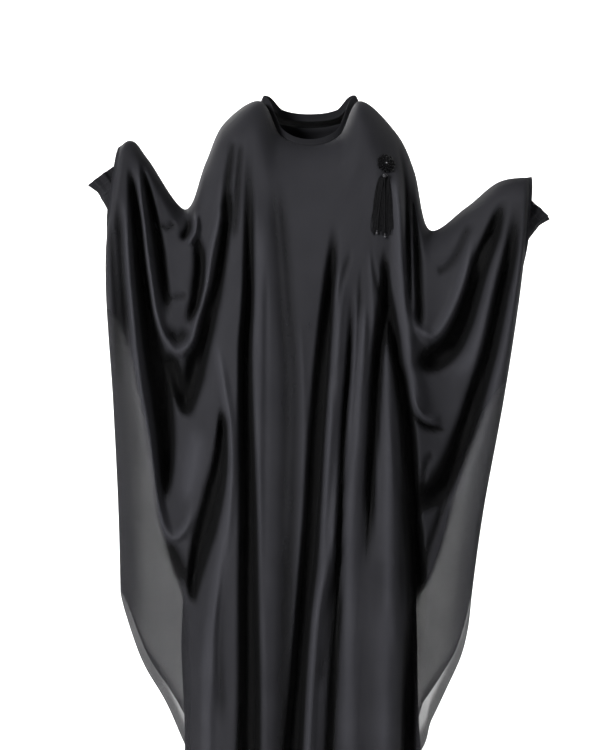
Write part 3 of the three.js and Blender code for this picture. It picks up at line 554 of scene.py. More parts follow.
def rod(path: np.ndarray, radii: np.ndarray, sides: int = 10) -> Mesh:
    """A full rod along a path, closed at both ends."""
    along = unit(np.gradient(path, axis=0))
    angle = np.linspace(0, 2 * math.pi, sides, endpoint=False)[:, None]
    points: list[np.ndarray] = []
    for centre, way, radius in zip(path, along, radii):
        across = unit(np.cross(way, (0.0, 1.0, 0.0)))
        deep = unit(np.cross(way, across))
        points.append(centre + radius * (np.cos(angle) * across + np.sin(angle) * deep))
    last = (len(path) - 1) * sides
    faces = [(low + j, low + (j + 1) % sides, low + sides + (j + 1) % sides, low + sides + j)
             for low in range(0, last, sides) for j in range(sides)]
    start = len(path) * sides
    for j in range(sides):
        n = (j + 1) % sides
        faces += [(start, n, j), (start + 1, last + j, last + n)]
    cloud = np.concatenate([*points, path[:1], path[-1:]])
    return Mesh(cloud, turned_out(cloud, faces))


def ball(centre: np.ndarray, radius: float, ridges: int = 0) -> Mesh:
    """A bead, round or with shallow ridges, closed at its poles."""
    segments, rings, ridge_depth = 24, 14, 0.05
    points = [np.array([0.0, 0.0, radius])]
    for i in range(1, rings):
        tilt = math.pi * i / rings
        for j in range(segments):
            angle = 2 * math.pi * j / segments
            ridge = ridge_depth * math.cos(ridges * angle) * math.sin(tilt) if ridges else 0
            reach = radius * (1 + ridge)
            points.append(np.array([reach * math.sin(tilt) * math.cos(angle),
                                    reach * math.sin(tilt) * math.sin(angle), radius * math.cos(tilt)]))
    points.append(np.array([0.0, 0.0, -radius]))
    cloud = np.array(points) + centre
    faces: list[tuple[int, ...]] = []
    for j in range(segments):
        n = (j + 1) % segments
        faces.append((0, 1 + j, 1 + n))
        low = 1 + (rings - 2) * segments
        faces.append((len(points) - 1, low + n, low + j))
        for i in range(rings - 2):
            a, b = 1 + i * segments, 1 + (i + 1) * segments
            faces.append((a + j, b + j, b + n, a + n))
    return Mesh(cloud, turned_out(cloud, faces))


class Nodes:
    """Adds and joins the nodes of one material or group."""

    def __init__(self, tree: bpy.types.NodeTree) -> None:
        """Starts with an empty tree."""
        self.tree = tree
        tree.nodes.clear()

    def add(
        self, kind: str, inputs: dict[str | int, object] | None = None, **settings: object
    ) -> bpy.types.Node:
        """Adds a node.

        Args:
            kind: Blender's node type.
            inputs: What each input is given, a socket to link or a plain value.
            **settings: Properties by name.

        Returns:
            The node.
        """
        node = self.tree.nodes.new(kind)
        for key, value in settings.items():
            setattr(node, key, value)
        for key, value in (inputs or {}).items():
            if isinstance(value, bpy.types.NodeSocket):
                self.tree.links.new(value, node.inputs[key])
            else:
                node.inputs[key].default_value = value
        return node

    def math(self, operation: str, a: object, b: object) -> bpy.types.NodeSocket:
        """Adds a Math node of two sockets or numbers, and returns its output."""
        return self.add("ShaderNodeMath", {0: a, 1: b}, operation=operation).outputs[0]

    def scaled(self, value: bpy.types.NodeSocket, by: float, plus: object = 0.0) -> bpy.types.NodeSocket:
        """A value times a number, plus a number or a socket."""
        return self.math("ADD", self.math("MULTIPLY", value, by), plus)

    def blend(self, dark: Sequence[float], light: Sequence[float],
              share: bpy.types.NodeSocket) -> bpy.types.NodeSocket:
        """A colour between two by a share."""
        given = {"A": (*dark, 1.0), "B": (*light, 1.0), "Factor": share}
        return self.add("ShaderNodeMix", given, data_type="RGBA").outputs["Result"]


def new_material(name: str) -> tuple[bpy.types.Material, Nodes]:
    """Makes an empty material, and the adder of its nodes."""
    material = bpy.data.materials.new(name)
    material.use_nodes = True
    return material, Nodes(material.node_tree)


def socket(tree: bpy.types.NodeTree, name: str, way: str, default: float | None = None) -> None:
    """Adds a named float socket to a group's interface."""
    made = tree.interface.new_socket(name=name, in_out=way, socket_type="NodeSocketFloat")
    if default is not None:
        made.default_value = default


def weave_group() -> bpy.types.NodeTree:
    """Builds the shared weave: threads both ways, crepe pebble and slow unevenness.

    Returns:
        A shader node group with outputs Height, Tone and Open.
    """
    thread_share, slow_share = 0.35, 0.6
    tree = bpy.data.node_groups.new("cloth_weave", "ShaderNodeTree")
    for name, default in (("Threads", 1400.0), ("Pebble", 420.0), ("Unevenness", 9.0)):
        socket(tree, name, "INPUT", default)
    for name in ("Height", "Tone", "Open"):
        socket(tree, name, "OUTPUT")
    nodes = Nodes(tree)
    given = nodes.add("NodeGroupInput").outputs
    uv = nodes.add("ShaderNodeUVMap", uv_map="cloth").outputs["UV"]
    split = nodes.add("ShaderNodeSeparateXYZ", {0: uv})
    turn = nodes.math("MULTIPLY", given["Threads"], 2 * math.pi)
    warp, weft = (nodes.math("SINE", nodes.math("MULTIPLY", split.outputs[way], turn), 0.0) for way in "XY")
    pebble, slow = (
        nodes.add("ShaderNodeTexNoise", {"Vector": uv, "Scale": given[name], "Detail": detail},
                  noise_dimensions="3D").outputs["Fac"]
        for name, detail in (("Pebble", 2.0), ("Unevenness", 3.0)))
    height = nodes.scaled(nodes.math("MULTIPLY", warp, weft), thread_share, pebble)
    tone = nodes.scaled(slow, slow_share, nodes.math("MULTIPLY", pebble, 1 - slow_share))
    nodes.add("NodeGroupOutput", {"Height": height, "Tone": tone, "Open": slow})
    return tree


@dataclass(frozen=True)
class ClothFinish:
    """A woven black cloth.

    Attributes:
        name: Material name.
        dark: Colour in the weave's shade.
        light: Colour on the threads.
        roughness: Surface roughness.
        sheen: Weight of the soft sheen.
        threads: Threads to the metre.
        pebble: Crepe grains to the metre.
        bump: Bump strength.
        thin: Opacity of one face where the cloth hangs alone, or None for opaque cloth.
        full: Opacity of one face where the cloth lies over more cloth.
        paints_fold_shade: Whether painted shade is put in the cloth's fold troughs and a painted highlight on
            their crests.
        fold_shading: What the colour is multiplied by, from the deepest fold (0), where it paints shade, to
            the highest crest (1), where it paints a highlight.
    """

    name: str
    dark: tuple[float, float, float]
    light: tuple[float, float, float]
    roughness: float
    sheen: float
    threads: float
    pebble: float
    bump: float
    thin: float | None = None
    full: float = 1.0
    paints_fold_shade: bool = False
    # Painted shade multipliers below 1 in the troughs, and a painted highlight multiplier above 1 on the
    # crests.
    fold_shading: tuple[tuple[float, float], ...] = (
        (0.0, 0.04), (0.12, 0.12), (0.38, 0.72), (0.5, 1.0), (1.0, 1.75))

    SPECULAR = 0.12
    SHEEN_ROUGHNESS = 0.5
    SHEEN_TINT = (0.62, 0.64, 0.70, 1.0)
    BUMP_DISTANCE = 0.0004
    THIN_BUMP = 0.1
    UNEVENNESS = 0.12

    def build(self, weave: bpy.types.NodeTree) -> bpy.types.Material:
        """Builds the material.

        Args:
            weave: The shared weave group.

        Returns:
            The material.
        """
        material, nodes = new_material(self.name)
        cloth = nodes.add("ShaderNodeGroup", node_tree=weave)
        cloth.inputs["Threads"].default_value = self.threads
        cloth.inputs["Pebble"].default_value = self.pebble
        colour = nodes.blend(self.dark, self.light, cloth.outputs["Tone"])
        height, alpha = cloth.outputs["Height"], 1.0
        if self.thin is not None:
            cover = nodes.add("ShaderNodeAttribute", attribute_name="cover").outputs["Fac"]
            felt = nodes.scaled(cover, 1 - self.THIN_BUMP, self.THIN_BUMP)
            height = nodes.math("MULTIPLY", height, felt)
            open_share = nodes.math("SUBTRACT", cloth.outputs["Open"], 0.5)
            uneven = nodes.math("MULTIPLY", open_share, self.UNEVENNESS)
            alpha = nodes.math("ADD", nodes.scaled(cover, self.full - self.thin, self.thin), uneven)
            alpha.node.use_clamp = True
        bump = nodes.add("ShaderNodeBump", {
            "Strength": self.bump, "Distance": self.BUMP_DISTANCE, "Height": height})
        # The base colour can carry painted shade in the fold troughs and a painted highlight on the crests.
        shader = nodes.add("ShaderNodeBsdfPrincipled", {
            "Base Color": self.tone(nodes, colour) if self.paints_fold_shade else colour,
            "Roughness": self.roughness, "Specular IOR Level": self.SPECULAR, "Sheen Weight": self.sheen,
            "Sheen Roughness": self.SHEEN_ROUGHNESS, "Sheen Tint": self.SHEEN_TINT,
            "Normal": bump.outputs["Normal"], "Alpha": alpha})
        nodes.add("ShaderNodeOutputMaterial", {"Surface": shader.outputs["BSDF"]})
        return material

    def tone(self, nodes: Nodes, colour: bpy.types.NodeSocket) -> bpy.types.NodeSocket:
        """Paints shade deep in the folds and a highlight on their crests, by multiplying the colour.

        Args:
            nodes: The material's nodes.
            colour: The weave's colour.

        Returns:
            The toned colour.
        """
        # The tone attribute is the share that picks the painted shade or painted highlight: 0 deep in a fold,
        # 1 on a crest.
        height = nodes.add("ShaderNodeAttribute", attribute_name="tone").outputs["Fac"]
        curve = nodes.add("ShaderNodeValToRGB", {"Fac": height})
        stops = curve.color_ramp.elements
        stops[0].position, stops[1].position = self.fold_shading[0][0], self.fold_shading[-1][0]
        for place, _ in self.fold_shading[1:-1]:
            stops.new(place)
        for stop, (_, value) in zip(sorted(stops, key=lambda each: each.position), self.fold_shading):
            stop.color = (value, value, value, 1.0)
        scaled = {0: colour, 1: curve.outputs["Color"]}
        return nodes.add("ShaderNodeVectorMath", scaled, operation="MULTIPLY").outputs["Vector"]


@dataclass(frozen=True)
class GlossFinish:
    """A bead, cord or ribbon finish with slight colour variation."""

    name: str
    dark: tuple[float, float, float]
    light: tuple[float, float, float]
    roughness: float
    grain: float
    metallic: float = 0.0
    coat: float = 0.0
    specular: float = 0.5

    COAT_ROUGHNESS = 0.12
    DETAIL = 3.0
    ROUGHNESS_RANGE = 0.15
    BUMP = 0.3
    BUMP_DISTANCE = 0.0002

    def build(self) -> bpy.types.Material:
        """Builds the material.

        Returns:
            The material.
        """
        material, nodes = new_material(self.name)
        place = nodes.add("ShaderNodeTexCoord").outputs["Object"]
        grain = nodes.add("ShaderNodeTexNoise", {"Vector": place, "Scale": self.grain, "Detail": self.DETAIL})
        noise = grain.outputs["Fac"]
        bump = nodes.add("ShaderNodeBump", {
            "Strength": self.BUMP, "Distance": self.BUMP_DISTANCE, "Height": noise})
        shader = nodes.add("ShaderNodeBsdfPrincipled", {
            "Base Color": nodes.blend(self.dark, self.light, noise), "Metallic": self.metallic,
            "Roughness": nodes.scaled(noise, self.ROUGHNESS_RANGE, self.roughness),
            "Specular IOR Level": self.specular, "Coat Weight": self.coat,
            "Coat Roughness": self.COAT_ROUGHNESS, "Normal": bump.outputs["Normal"]})
        nodes.add("ShaderNodeOutputMaterial", {"Surface": shader.outputs["BSDF"]})
        return material


@dataclass
class Wardrobe:
    """All the finishes, built once."""

    georgette: bpy.types.Material
    crepe: bpy.types.Material
    ribbon: bpy.types.Material
    bead: bpy.types.Material
    thread: bpy.types.Material

    @classmethod
    def build(cls) -> "Wardrobe":
        """Builds every finish of the garment."""
        weave = weave_group()
        return cls(
            # The georgette's colour carries painted shade in its fold troughs and painted highlights on their
            # crests.
            georgette=ClothFinish("black_georgette", (0.012, 0.012, 0.0145), (0.027, 0.027, 0.031),
                                  0.8, 0.012, 1500, 520, 0.12, thin=0.56, full=0.96, paints_fold_shade=True).build(weave),
            crepe=ClothFinish("black_crepe", (0.007, 0.007, 0.0085), (0.016, 0.016, 0.0185),
                              0.85, 0.012, 1200, 380, 0.35).build(weave),
            ribbon=GlossFinish("black_ribbon", (0.001, 0.001, 0.0013), (0.006, 0.006, 0.007),
                               0.5, 900.0, specular=0.1).build(),
            bead=GlossFinish("dark_bead", (0.01, 0.01, 0.012), (0.04, 0.04, 0.045),
                             0.2, 300.0, metallic=0.3, coat=0.4).build(),
            thread=GlossFinish("black_thread", (0.012, 0.012, 0.014), (0.04, 0.04, 0.045),
                               0.6, 2000.0).build(),
        )


@dataclass
class Stitching:
    """Running stitches along a line, made by one Geometry Nodes tree."""

    thread: bpy.types.Material
    pitch: float = 3.4
    length: float = 2.2
    thickness: float = 0.42
    tree: bpy.types.NodeTree = field(init=False)
    inputs: dict[str, str] = field(init=False)

    def __post_init__(self) -> None:
        """Builds the tree with its named inputs."""
        tree = bpy.data.node_groups.new("running_stitches", "GeometryNodeTree")
        face = tree.interface
        kinds = {"Geometry": "Geometry", "Pitch": "Float", "Length": "Float", "Thickness": "Float",
                 "Thread": "Material"}
        self.inputs = {}
        for name, kind in kinds.items():
            made = face.new_socket(name=name, in_out="INPUT", socket_type=f"NodeSocket{kind}")
            self.inputs[name] = made.identifier
        face.new_socket(name="Geometry", in_out="OUTPUT", socket_type="NodeSocketGeometry")
        nodes = Nodes(tree)
        given = nodes.add("NodeGroupInput").outputs
        line = nodes.add("GeometryNodeMeshToCurve", {"Mesh": given["Geometry"]})
        spaced = nodes.add("GeometryNodeResampleCurve", {
            "Curve": line.outputs["Curve"], "Length": given["Pitch"]}, mode="LENGTH")
        way = nodes.add("GeometryNodeInputTangent").outputs["Tangent"]
        turn = nodes.add("FunctionNodeAlignRotationToVector", {"Vector": way}, axis="X")
        grain = nodes.add("GeometryNodeMeshUVSphere", {"Segments": 6, "Rings": 4, "Radius": 0.5})
        size = nodes.add("ShaderNodeCombineXYZ", {
            "X": given["Length"], "Y": given["Thickness"], "Z": given["Thickness"]})
        shaped = nodes.add("GeometryNodeTransform", {
            "Geometry": grain.outputs["Mesh"], "Scale": size.outputs["Vector"]})
        uneven = nodes.add("FunctionNodeRandomValue", {"Min": 0.86, "Max": 1.1, "Seed": 7}, data_type="FLOAT")
        sewn = nodes.add("GeometryNodeInstanceOnPoints", {
            "Points": spaced.outputs["Curve"], "Instance": shaped.outputs["Geometry"],
            "Rotation": turn.outputs["Rotation"], "Scale": uneven.outputs[1]})
        real = nodes.add("GeometryNodeRealizeInstances", {"Geometry": sewn.outputs["Instances"]})
        finish = nodes.add("GeometryNodeSetMaterial", {
            "Geometry": real.outputs["Geometry"], "Material": given["Thread"]})
        nodes.add("NodeGroupOutput", {"Geometry": finish.outputs["Geometry"]})
        self.tree = tree

    def sew(self, name: str, slot: str, lines: Sequence[np.ndarray]) -> bpy.types.Object:
        """Sews stitches along lines of points.

        Args:
            name: The piece's name.
            slot: The material slot of what it is sewn on; it is not used.
            lines: Each line's points in millimetres.

        Returns:
            The stitches as one plain mesh.
        """
        mesh = bpy.data.meshes.new(name)
        edges: list[tuple[int, int]] = []
        start = 0
        for line in lines:
            edges += [(start + k, start + k + 1) for k in range(len(line) - 1)]
            start += len(line)
        mesh.from_pydata((np.concatenate(lines) * MM).tolist(), edges, [])
        piece = placed(name, mesh)
        modifier = piece.modifiers.new("stitches", "NODES")
        modifier.node_group = self.tree
        sizes = {"Pitch": self.pitch, "Length": self.length, "Thickness": self.thickness}
        for key, value in sizes.items():
            modifier[self.inputs[key]] = value * MM
        modifier[self.inputs["Thread"]] = self.thread
        bpy.context.view_layer.update()
        evaluated = piece.evaluated_get(bpy.context.evaluated_depsgraph_get())
        plain = bpy.data.meshes.new_from_object(evaluated)
        piece.modifiers.clear()
        piece.data = plain
        plain.name = name
        finish_piece(piece, slot)
        return piece


def finish_piece(piece: bpy.types.Object, slot: str, *nodes: str) -> None:
    """Rides a piece on the body and replaces the nodes that it stands for."""
    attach(piece, BODY)
    if nodes:
        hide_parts(*nodes)
    LOG.info("%s: %d faces", piece.name, len(piece.data.polygons))


@dataclass
class Cape:
    """The sheer outer layer: two sheets that meet along the shoulders, arms and outer edges."""

    hand_reach: float = 115
    reach_at_hem: float = 0.45
    wing_start: float = 150
    wing_end: float = 390
    body_edge: float = 120
    wing_edge: float = 300
    chest_half_depth: float = 150
    hem_half_depth: float = 174
    arm_half_depth: float = 64
    wing_half_depth: float = 30
    shoulder_round: float = 130
    arm_round: float = 45
    edge_round: float = 18
    mouth_share: float = 0.72
    mouth_closes_over: float = 70
    mouth_bottom: dict[Side, float] = field(default_factory=lambda: {Side.RIGHT: -205, Side.LEFT: -265})
    neck_depth: dict[Face, float] = field(default_factory=lambda: {Face.FRONT: 80, Face.BACK: 62})
    neck_guides: tuple[int, int] = (6, 10)
    inside_gap: float = 2.5
    sleeve_gap: float = 8.0
    dress: "Dress" = field(default_factory=lambda: Dress())
    columns_between: int = 18
    rows: int = 150
    body_gain: float = 1.2
    wing_gain: float = 1.6
    edge_cover: float = 0.4
    edge_reach: float = 60.0
    hem_cover: dict[Face, float] = field(default_factory=lambda: {Face.FRONT: 0.55, Face.BACK: 0.4})
    hem_reach: dict[Face, float] = field(default_factory=lambda: {Face.FRONT: 50.0, Face.BACK: 26.0})
    # Relief over which the painted shade in a trough turns into the painted highlight on a crest.
    fold_shade_reach: dict[Face, float] = field(default_factory=lambda: {Face.FRONT: 17.0, Face.BACK: 30.0})
    hem_rows: tuple[float, ...] = (0.9925, 0.9935, 0.996, 0.998)
    hem_stitch_row: float = 0.9925
    held_drop: tuple[float, float] = (250, 1000)
    body_drop: tuple[float, float] = (200, 1300)
    wing_drop: tuple[float, float] = (340, 640)
    low_wing_drop: tuple[float, float] = (850, 1150)
    low_wing_share: float = 0.3
    gain_edge: float = 240
    full_edge: float = 0.995
    thin_fade: tuple[float, float] = (-5.0, 9.0)
    edge_columns: tuple[float, ...] = (0.01, 0.025, 0.05, 0.11)
    top_rows: tuple[float, ...] = (0, 0.002, 0.005, 0.009, 0.014, 0.02, 0.028)
    grids: dict[Face, np.ndarray] = field(default_factory=dict)
    # Each sheet's share of painted shade and painted highlight, from its fold relief.
    fold_shading: dict[Face, np.ndarray] = field(default_factory=dict)
    thin_right: tuple[tuple[float, float], ...] = (
        (-100, -480), (-330, -430), (-413, -360), (-468, -338), (-567, -318), (-667, -300), (-776, -289),
        (-822, -279), (-885, -259), (-932, -241), (-994, -231), (-1300, -229))
    thin_left: tuple[tuple[float, float], ...] = (
        (-100, 500), (-480, 420), (-549, 346), (-631, 312), (-722, 281), (-794, 263), (-876, 236),
        (-940, 204), (-1000, 198), (-1300, 198))

    def middle(self, x: np.ndarray, z: np.ndarray) -> np.ndarray:
        """Depth of the plane midway between the sheets; the hands carry the wings forward."""
        held = mix(1.0, self.reach_at_hem, smooth(*self.held_drop, -z))
        return -self.hand_reach * held * smooth(self.wing_start, self.wing_end, np.abs(x))

    def half_depth(self, x: np.ndarray, z: np.ndarray) -> np.ndarray:
        """Half the space between the sheets before folds."""
        body = mix(self.chest_half_depth, self.hem_half_depth, smooth(*self.body_drop, -z))
        wing = mix(self.arm_half_depth, self.wing_half_depth, smooth(*self.wing_drop, -z))
        low_wing = mix(wing, body * self.low_wing_share, smooth(*self.low_wing_drop, -z))
        return mix(body, low_wing, smooth(self.body_edge, self.wing_edge, np.abs(x)))

    def columns(self) -> np.ndarray:
        """Column places, in guide numbers, closer at the two outer edges."""
        last = len(GUIDES) - 1
        even = np.linspace(0, last, last * self.columns_between + 1)
        edge = np.array(self.edge_columns)
        return np.unique(np.concatenate([even, edge, last - edge]).round(6))

    def row_places(self) -> np.ndarray:
        """Row places from the top edge to the hem, closer at the top and at the hem."""
        even = np.linspace(self.top_rows[-1], 1.0, self.rows)
        return np.unique(np.concatenate([self.top_rows, even, self.hem_rows]).round(6))

    def grid(self, face: Face, folds: Sequence[Fold], u: np.ndarray, v: np.ndarray) -> np.ndarray:
        """Outer points of one sheet.

        Args:
            face: Which sheet.
            folds: Its folds and creases.
            u: Column places.
            v: Row places.

        Returns:
            Points, rows by columns, in millimetres.
        """
        stops = np.array([guide.stops(face) for guide in GUIDES], dtype=float)
        numbers = range(len(GUIDES))
        lines = curve_through(LEVELS, stops.transpose(1, 0, 2), v)
        sheet = curve_through(numbers, lines.transpose(1, 0, 2), u).transpose(1, 0, 2)
        x, z = sheet[..., 0], sheet[..., 1]
        from_top = np.hypot(x - x[:1], z - z[:1])
        right_half = (u < len(GUIDES) / 2)[None, :]
        from_edge = np.abs(x - np.where(right_half, x[:, :1], x[:, -1:]))
        bottom = np.where(right_half, self.mouth_bottom[Side.RIGHT], self.mouth_bottom[Side.LEFT])
        opening = self.mouth_share * smooth(0.0, 1.0, (z - bottom) / self.mouth_closes_over + 1.0)
        edge_share = np.maximum(quarter_round(from_edge, self.edge_round), opening)
        on_wing = smooth(self.body_edge, self.wing_edge, np.abs(x))
        top_round = mix(self.shoulder_round, self.arm_round, on_wing)
        top_share = quarter_round(from_top, top_round)
        half = self.half_depth(x, z) * edge_share
        necks = np.array([guide.neck for guide in GUIDES])
        at_top = np.clip(curve_through(numbers, necks, u), 0.0, 1.0)[None, :] * self.neck_depth[face]
        gain = mix(self.body_gain, self.wing_gain, smooth(self.body_edge, self.gain_edge, np.abs(x)))
        relief = gain * relief_of(folds, x, z) * edge_share * smooth(0.0, 1.0, from_top / top_round)
        # Painted shade in the fold troughs and painted highlight on the crests, as a share of the fold relief.
        reach = self.fold_shade_reach[face]
        self.fold_shading[face] = smooth(-reach, reach, relief)
        depth = np.maximum(0.0, mix(at_top, half, top_share) + relief)
        free = (edge_share > self.full_edge) & (from_top > top_round)
        depth = np.where(free, np.maximum(depth, self.clear_of_inside(face, x, z)), depth)
        y = self.middle(x, z) + face.value * (SEAM_GAP / 2 + depth)
        return np.stack([x, y, z], axis=2)

    def clear_of_inside(self, face: Face, x: np.ndarray, z: np.ndarray) -> np.ndarray:
        """Least depth that keeps the sheet clear of the dress and the sleeves.

        Args:
            face: Which sheet.
            x: Across.
            z: Up.

        Returns:
            Depths from the sheet's middle plane, 0 where nothing lies inside.
        """
        least = np.zeros(x.shape)
        for sleeve in SLEEVES.values():
            side = sleeve.side.value
            line = np.array([[side * ring.out, ring.z, ring.radius] for ring in sleeve.rings])
            for start, end in zip(line[:-1], line[1:]):
                t, away = to_segment(x, z, start[:2], end[:2])
                radius = mix(start[2], end[2], t) + self.sleeve_gap
                least = np.maximum(least, np.sqrt(np.maximum(0.0, radius**2 - away**2)))
        left, right, front, back = self.dress.section(-z)
        half = (right - left) / 2
        share = np.clip(np.abs(x - (left + right) / 2) / half, 0.0, 1.0)
        deep = (front if face is Face.FRONT else back) + self.dress.wave_depth
        inside = np.sqrt(1 - share**2) * deep + self.inside_gap - face.value * self.middle(x, z)
        under = (z < self.dress.rings[0].z) & (share < 1)
        return np.where(under, np.maximum(least, inside), least)

    def cover(self, grid: np.ndarray, face: Face) -> np.ndarray:
        """How dense the sheet looks, from 0 on the free outer strips to 1 over more cloth.

        Args:
            grid: The sheet's outer points.
            face: Which sheet. Each is denser along its hem.

        Returns:
            A share at each point.
        """
        x, z = grid[..., 0], grid[..., 2]
        share = np.ones(x.shape)
        for table, side in ((self.thin_right, Side.RIGHT), (self.thin_left, Side.LEFT)):
            rows = np.array(table)
            limit = curve_through(-rows[:, 0], rows[:, 1], -z.ravel()).reshape(z.shape)
            inside = side.value * (limit - x)
            share = np.minimum(share, smooth(*self.thin_fade, inside))
        from_edge = np.minimum(np.abs(x - x[:, :1]), np.abs(x - x[:, -1:]))
        gathered = self.edge_cover * smooth(self.edge_reach, 0.0, from_edge)
        from_hem = np.hypot(x - x[-1:], z - z[-1:])
        reach = self.hem_reach[face]
        gathered = np.maximum(gathered, self.hem_cover[face] * smooth(reach, 0.5 * reach, from_hem))
        return np.maximum(share, gathered)

    def sheet(self, face: Face, folds: Sequence[Fold], material: bpy.types.Material) -> bpy.types.Object:
        """Builds one sheet as a thin shell.

        Args:
            face: Which sheet.
            folds: Its folds and creases.
            material: Its finish.

        Returns:
            The piece.
        """
        u, v = self.columns(), self.row_places()
        grid = self.grid(face, folds, u, v)
        self.grids[face] = grid
        outward = np.zeros(grid.shape)
        outward[..., 1] = face.value
        outward[..., 2] = 0.02
        at_neck = (u > self.neck_guides[0] + 0.01) & (u < self.neck_guides[1] - 0.01)
        outward[0, ~at_neck] = (0, 0, 1)
        outward[:, 0] = (-1, 0, 0)
        outward[:, -1] = (1, 0, 0)
        # The sheet carries its painted fold shade and crest highlight as the tone values.
        mesh = shell_from_grid(grid, outward, seam_columns=True, seam_top=~at_neck,
                               values={"cover": self.cover(grid, face), "tone": self.fold_shading[face]})
        piece = mesh.to_object(f"cape_{face.name.lower()}_cloth", material)
        finish_piece(piece, "cape_cloth", f"cape_{face.name.lower()}")
        return piece

    def hem_line(self, face: Face) -> np.ndarray:
        """A line on the sheet's outside, just above its hem."""
        row = int(np.argmin(np.abs(self.row_places() - self.hem_stitch_row)))
        line = self.grids[face][row, 3:-3].copy()
        line[:, 1] += face.value * STITCH_LIFT
        return line

    def build(self, finishes: Wardrobe, stitching: Stitching) -> None:
        """Builds both sheets with their hem stitches.

        Args:
            finishes: The garment's finishes.
            stitching: What sews the hems.
        """
        folds = {Face.FRONT: FRONT_FOLDS + FRONT_CREASES, Face.BACK: BACK_FOLDS + BACK_CREASES}
        sheets = {face: self.sheet(face, folds[face], finishes.georgette) for face in Face}
        for face, piece in sheets.items():
            name = f"cape_{face.name.lower()}_hem_stitches"
            stitches = stitching.sew(name, "cape_cloth", [self.hem_line(face)])


@dataclass(frozen=True)
class DressRing:
    """A section of the dress, in millimetres."""

    z: float
    left: float
    right: float
    front: float
    back: float


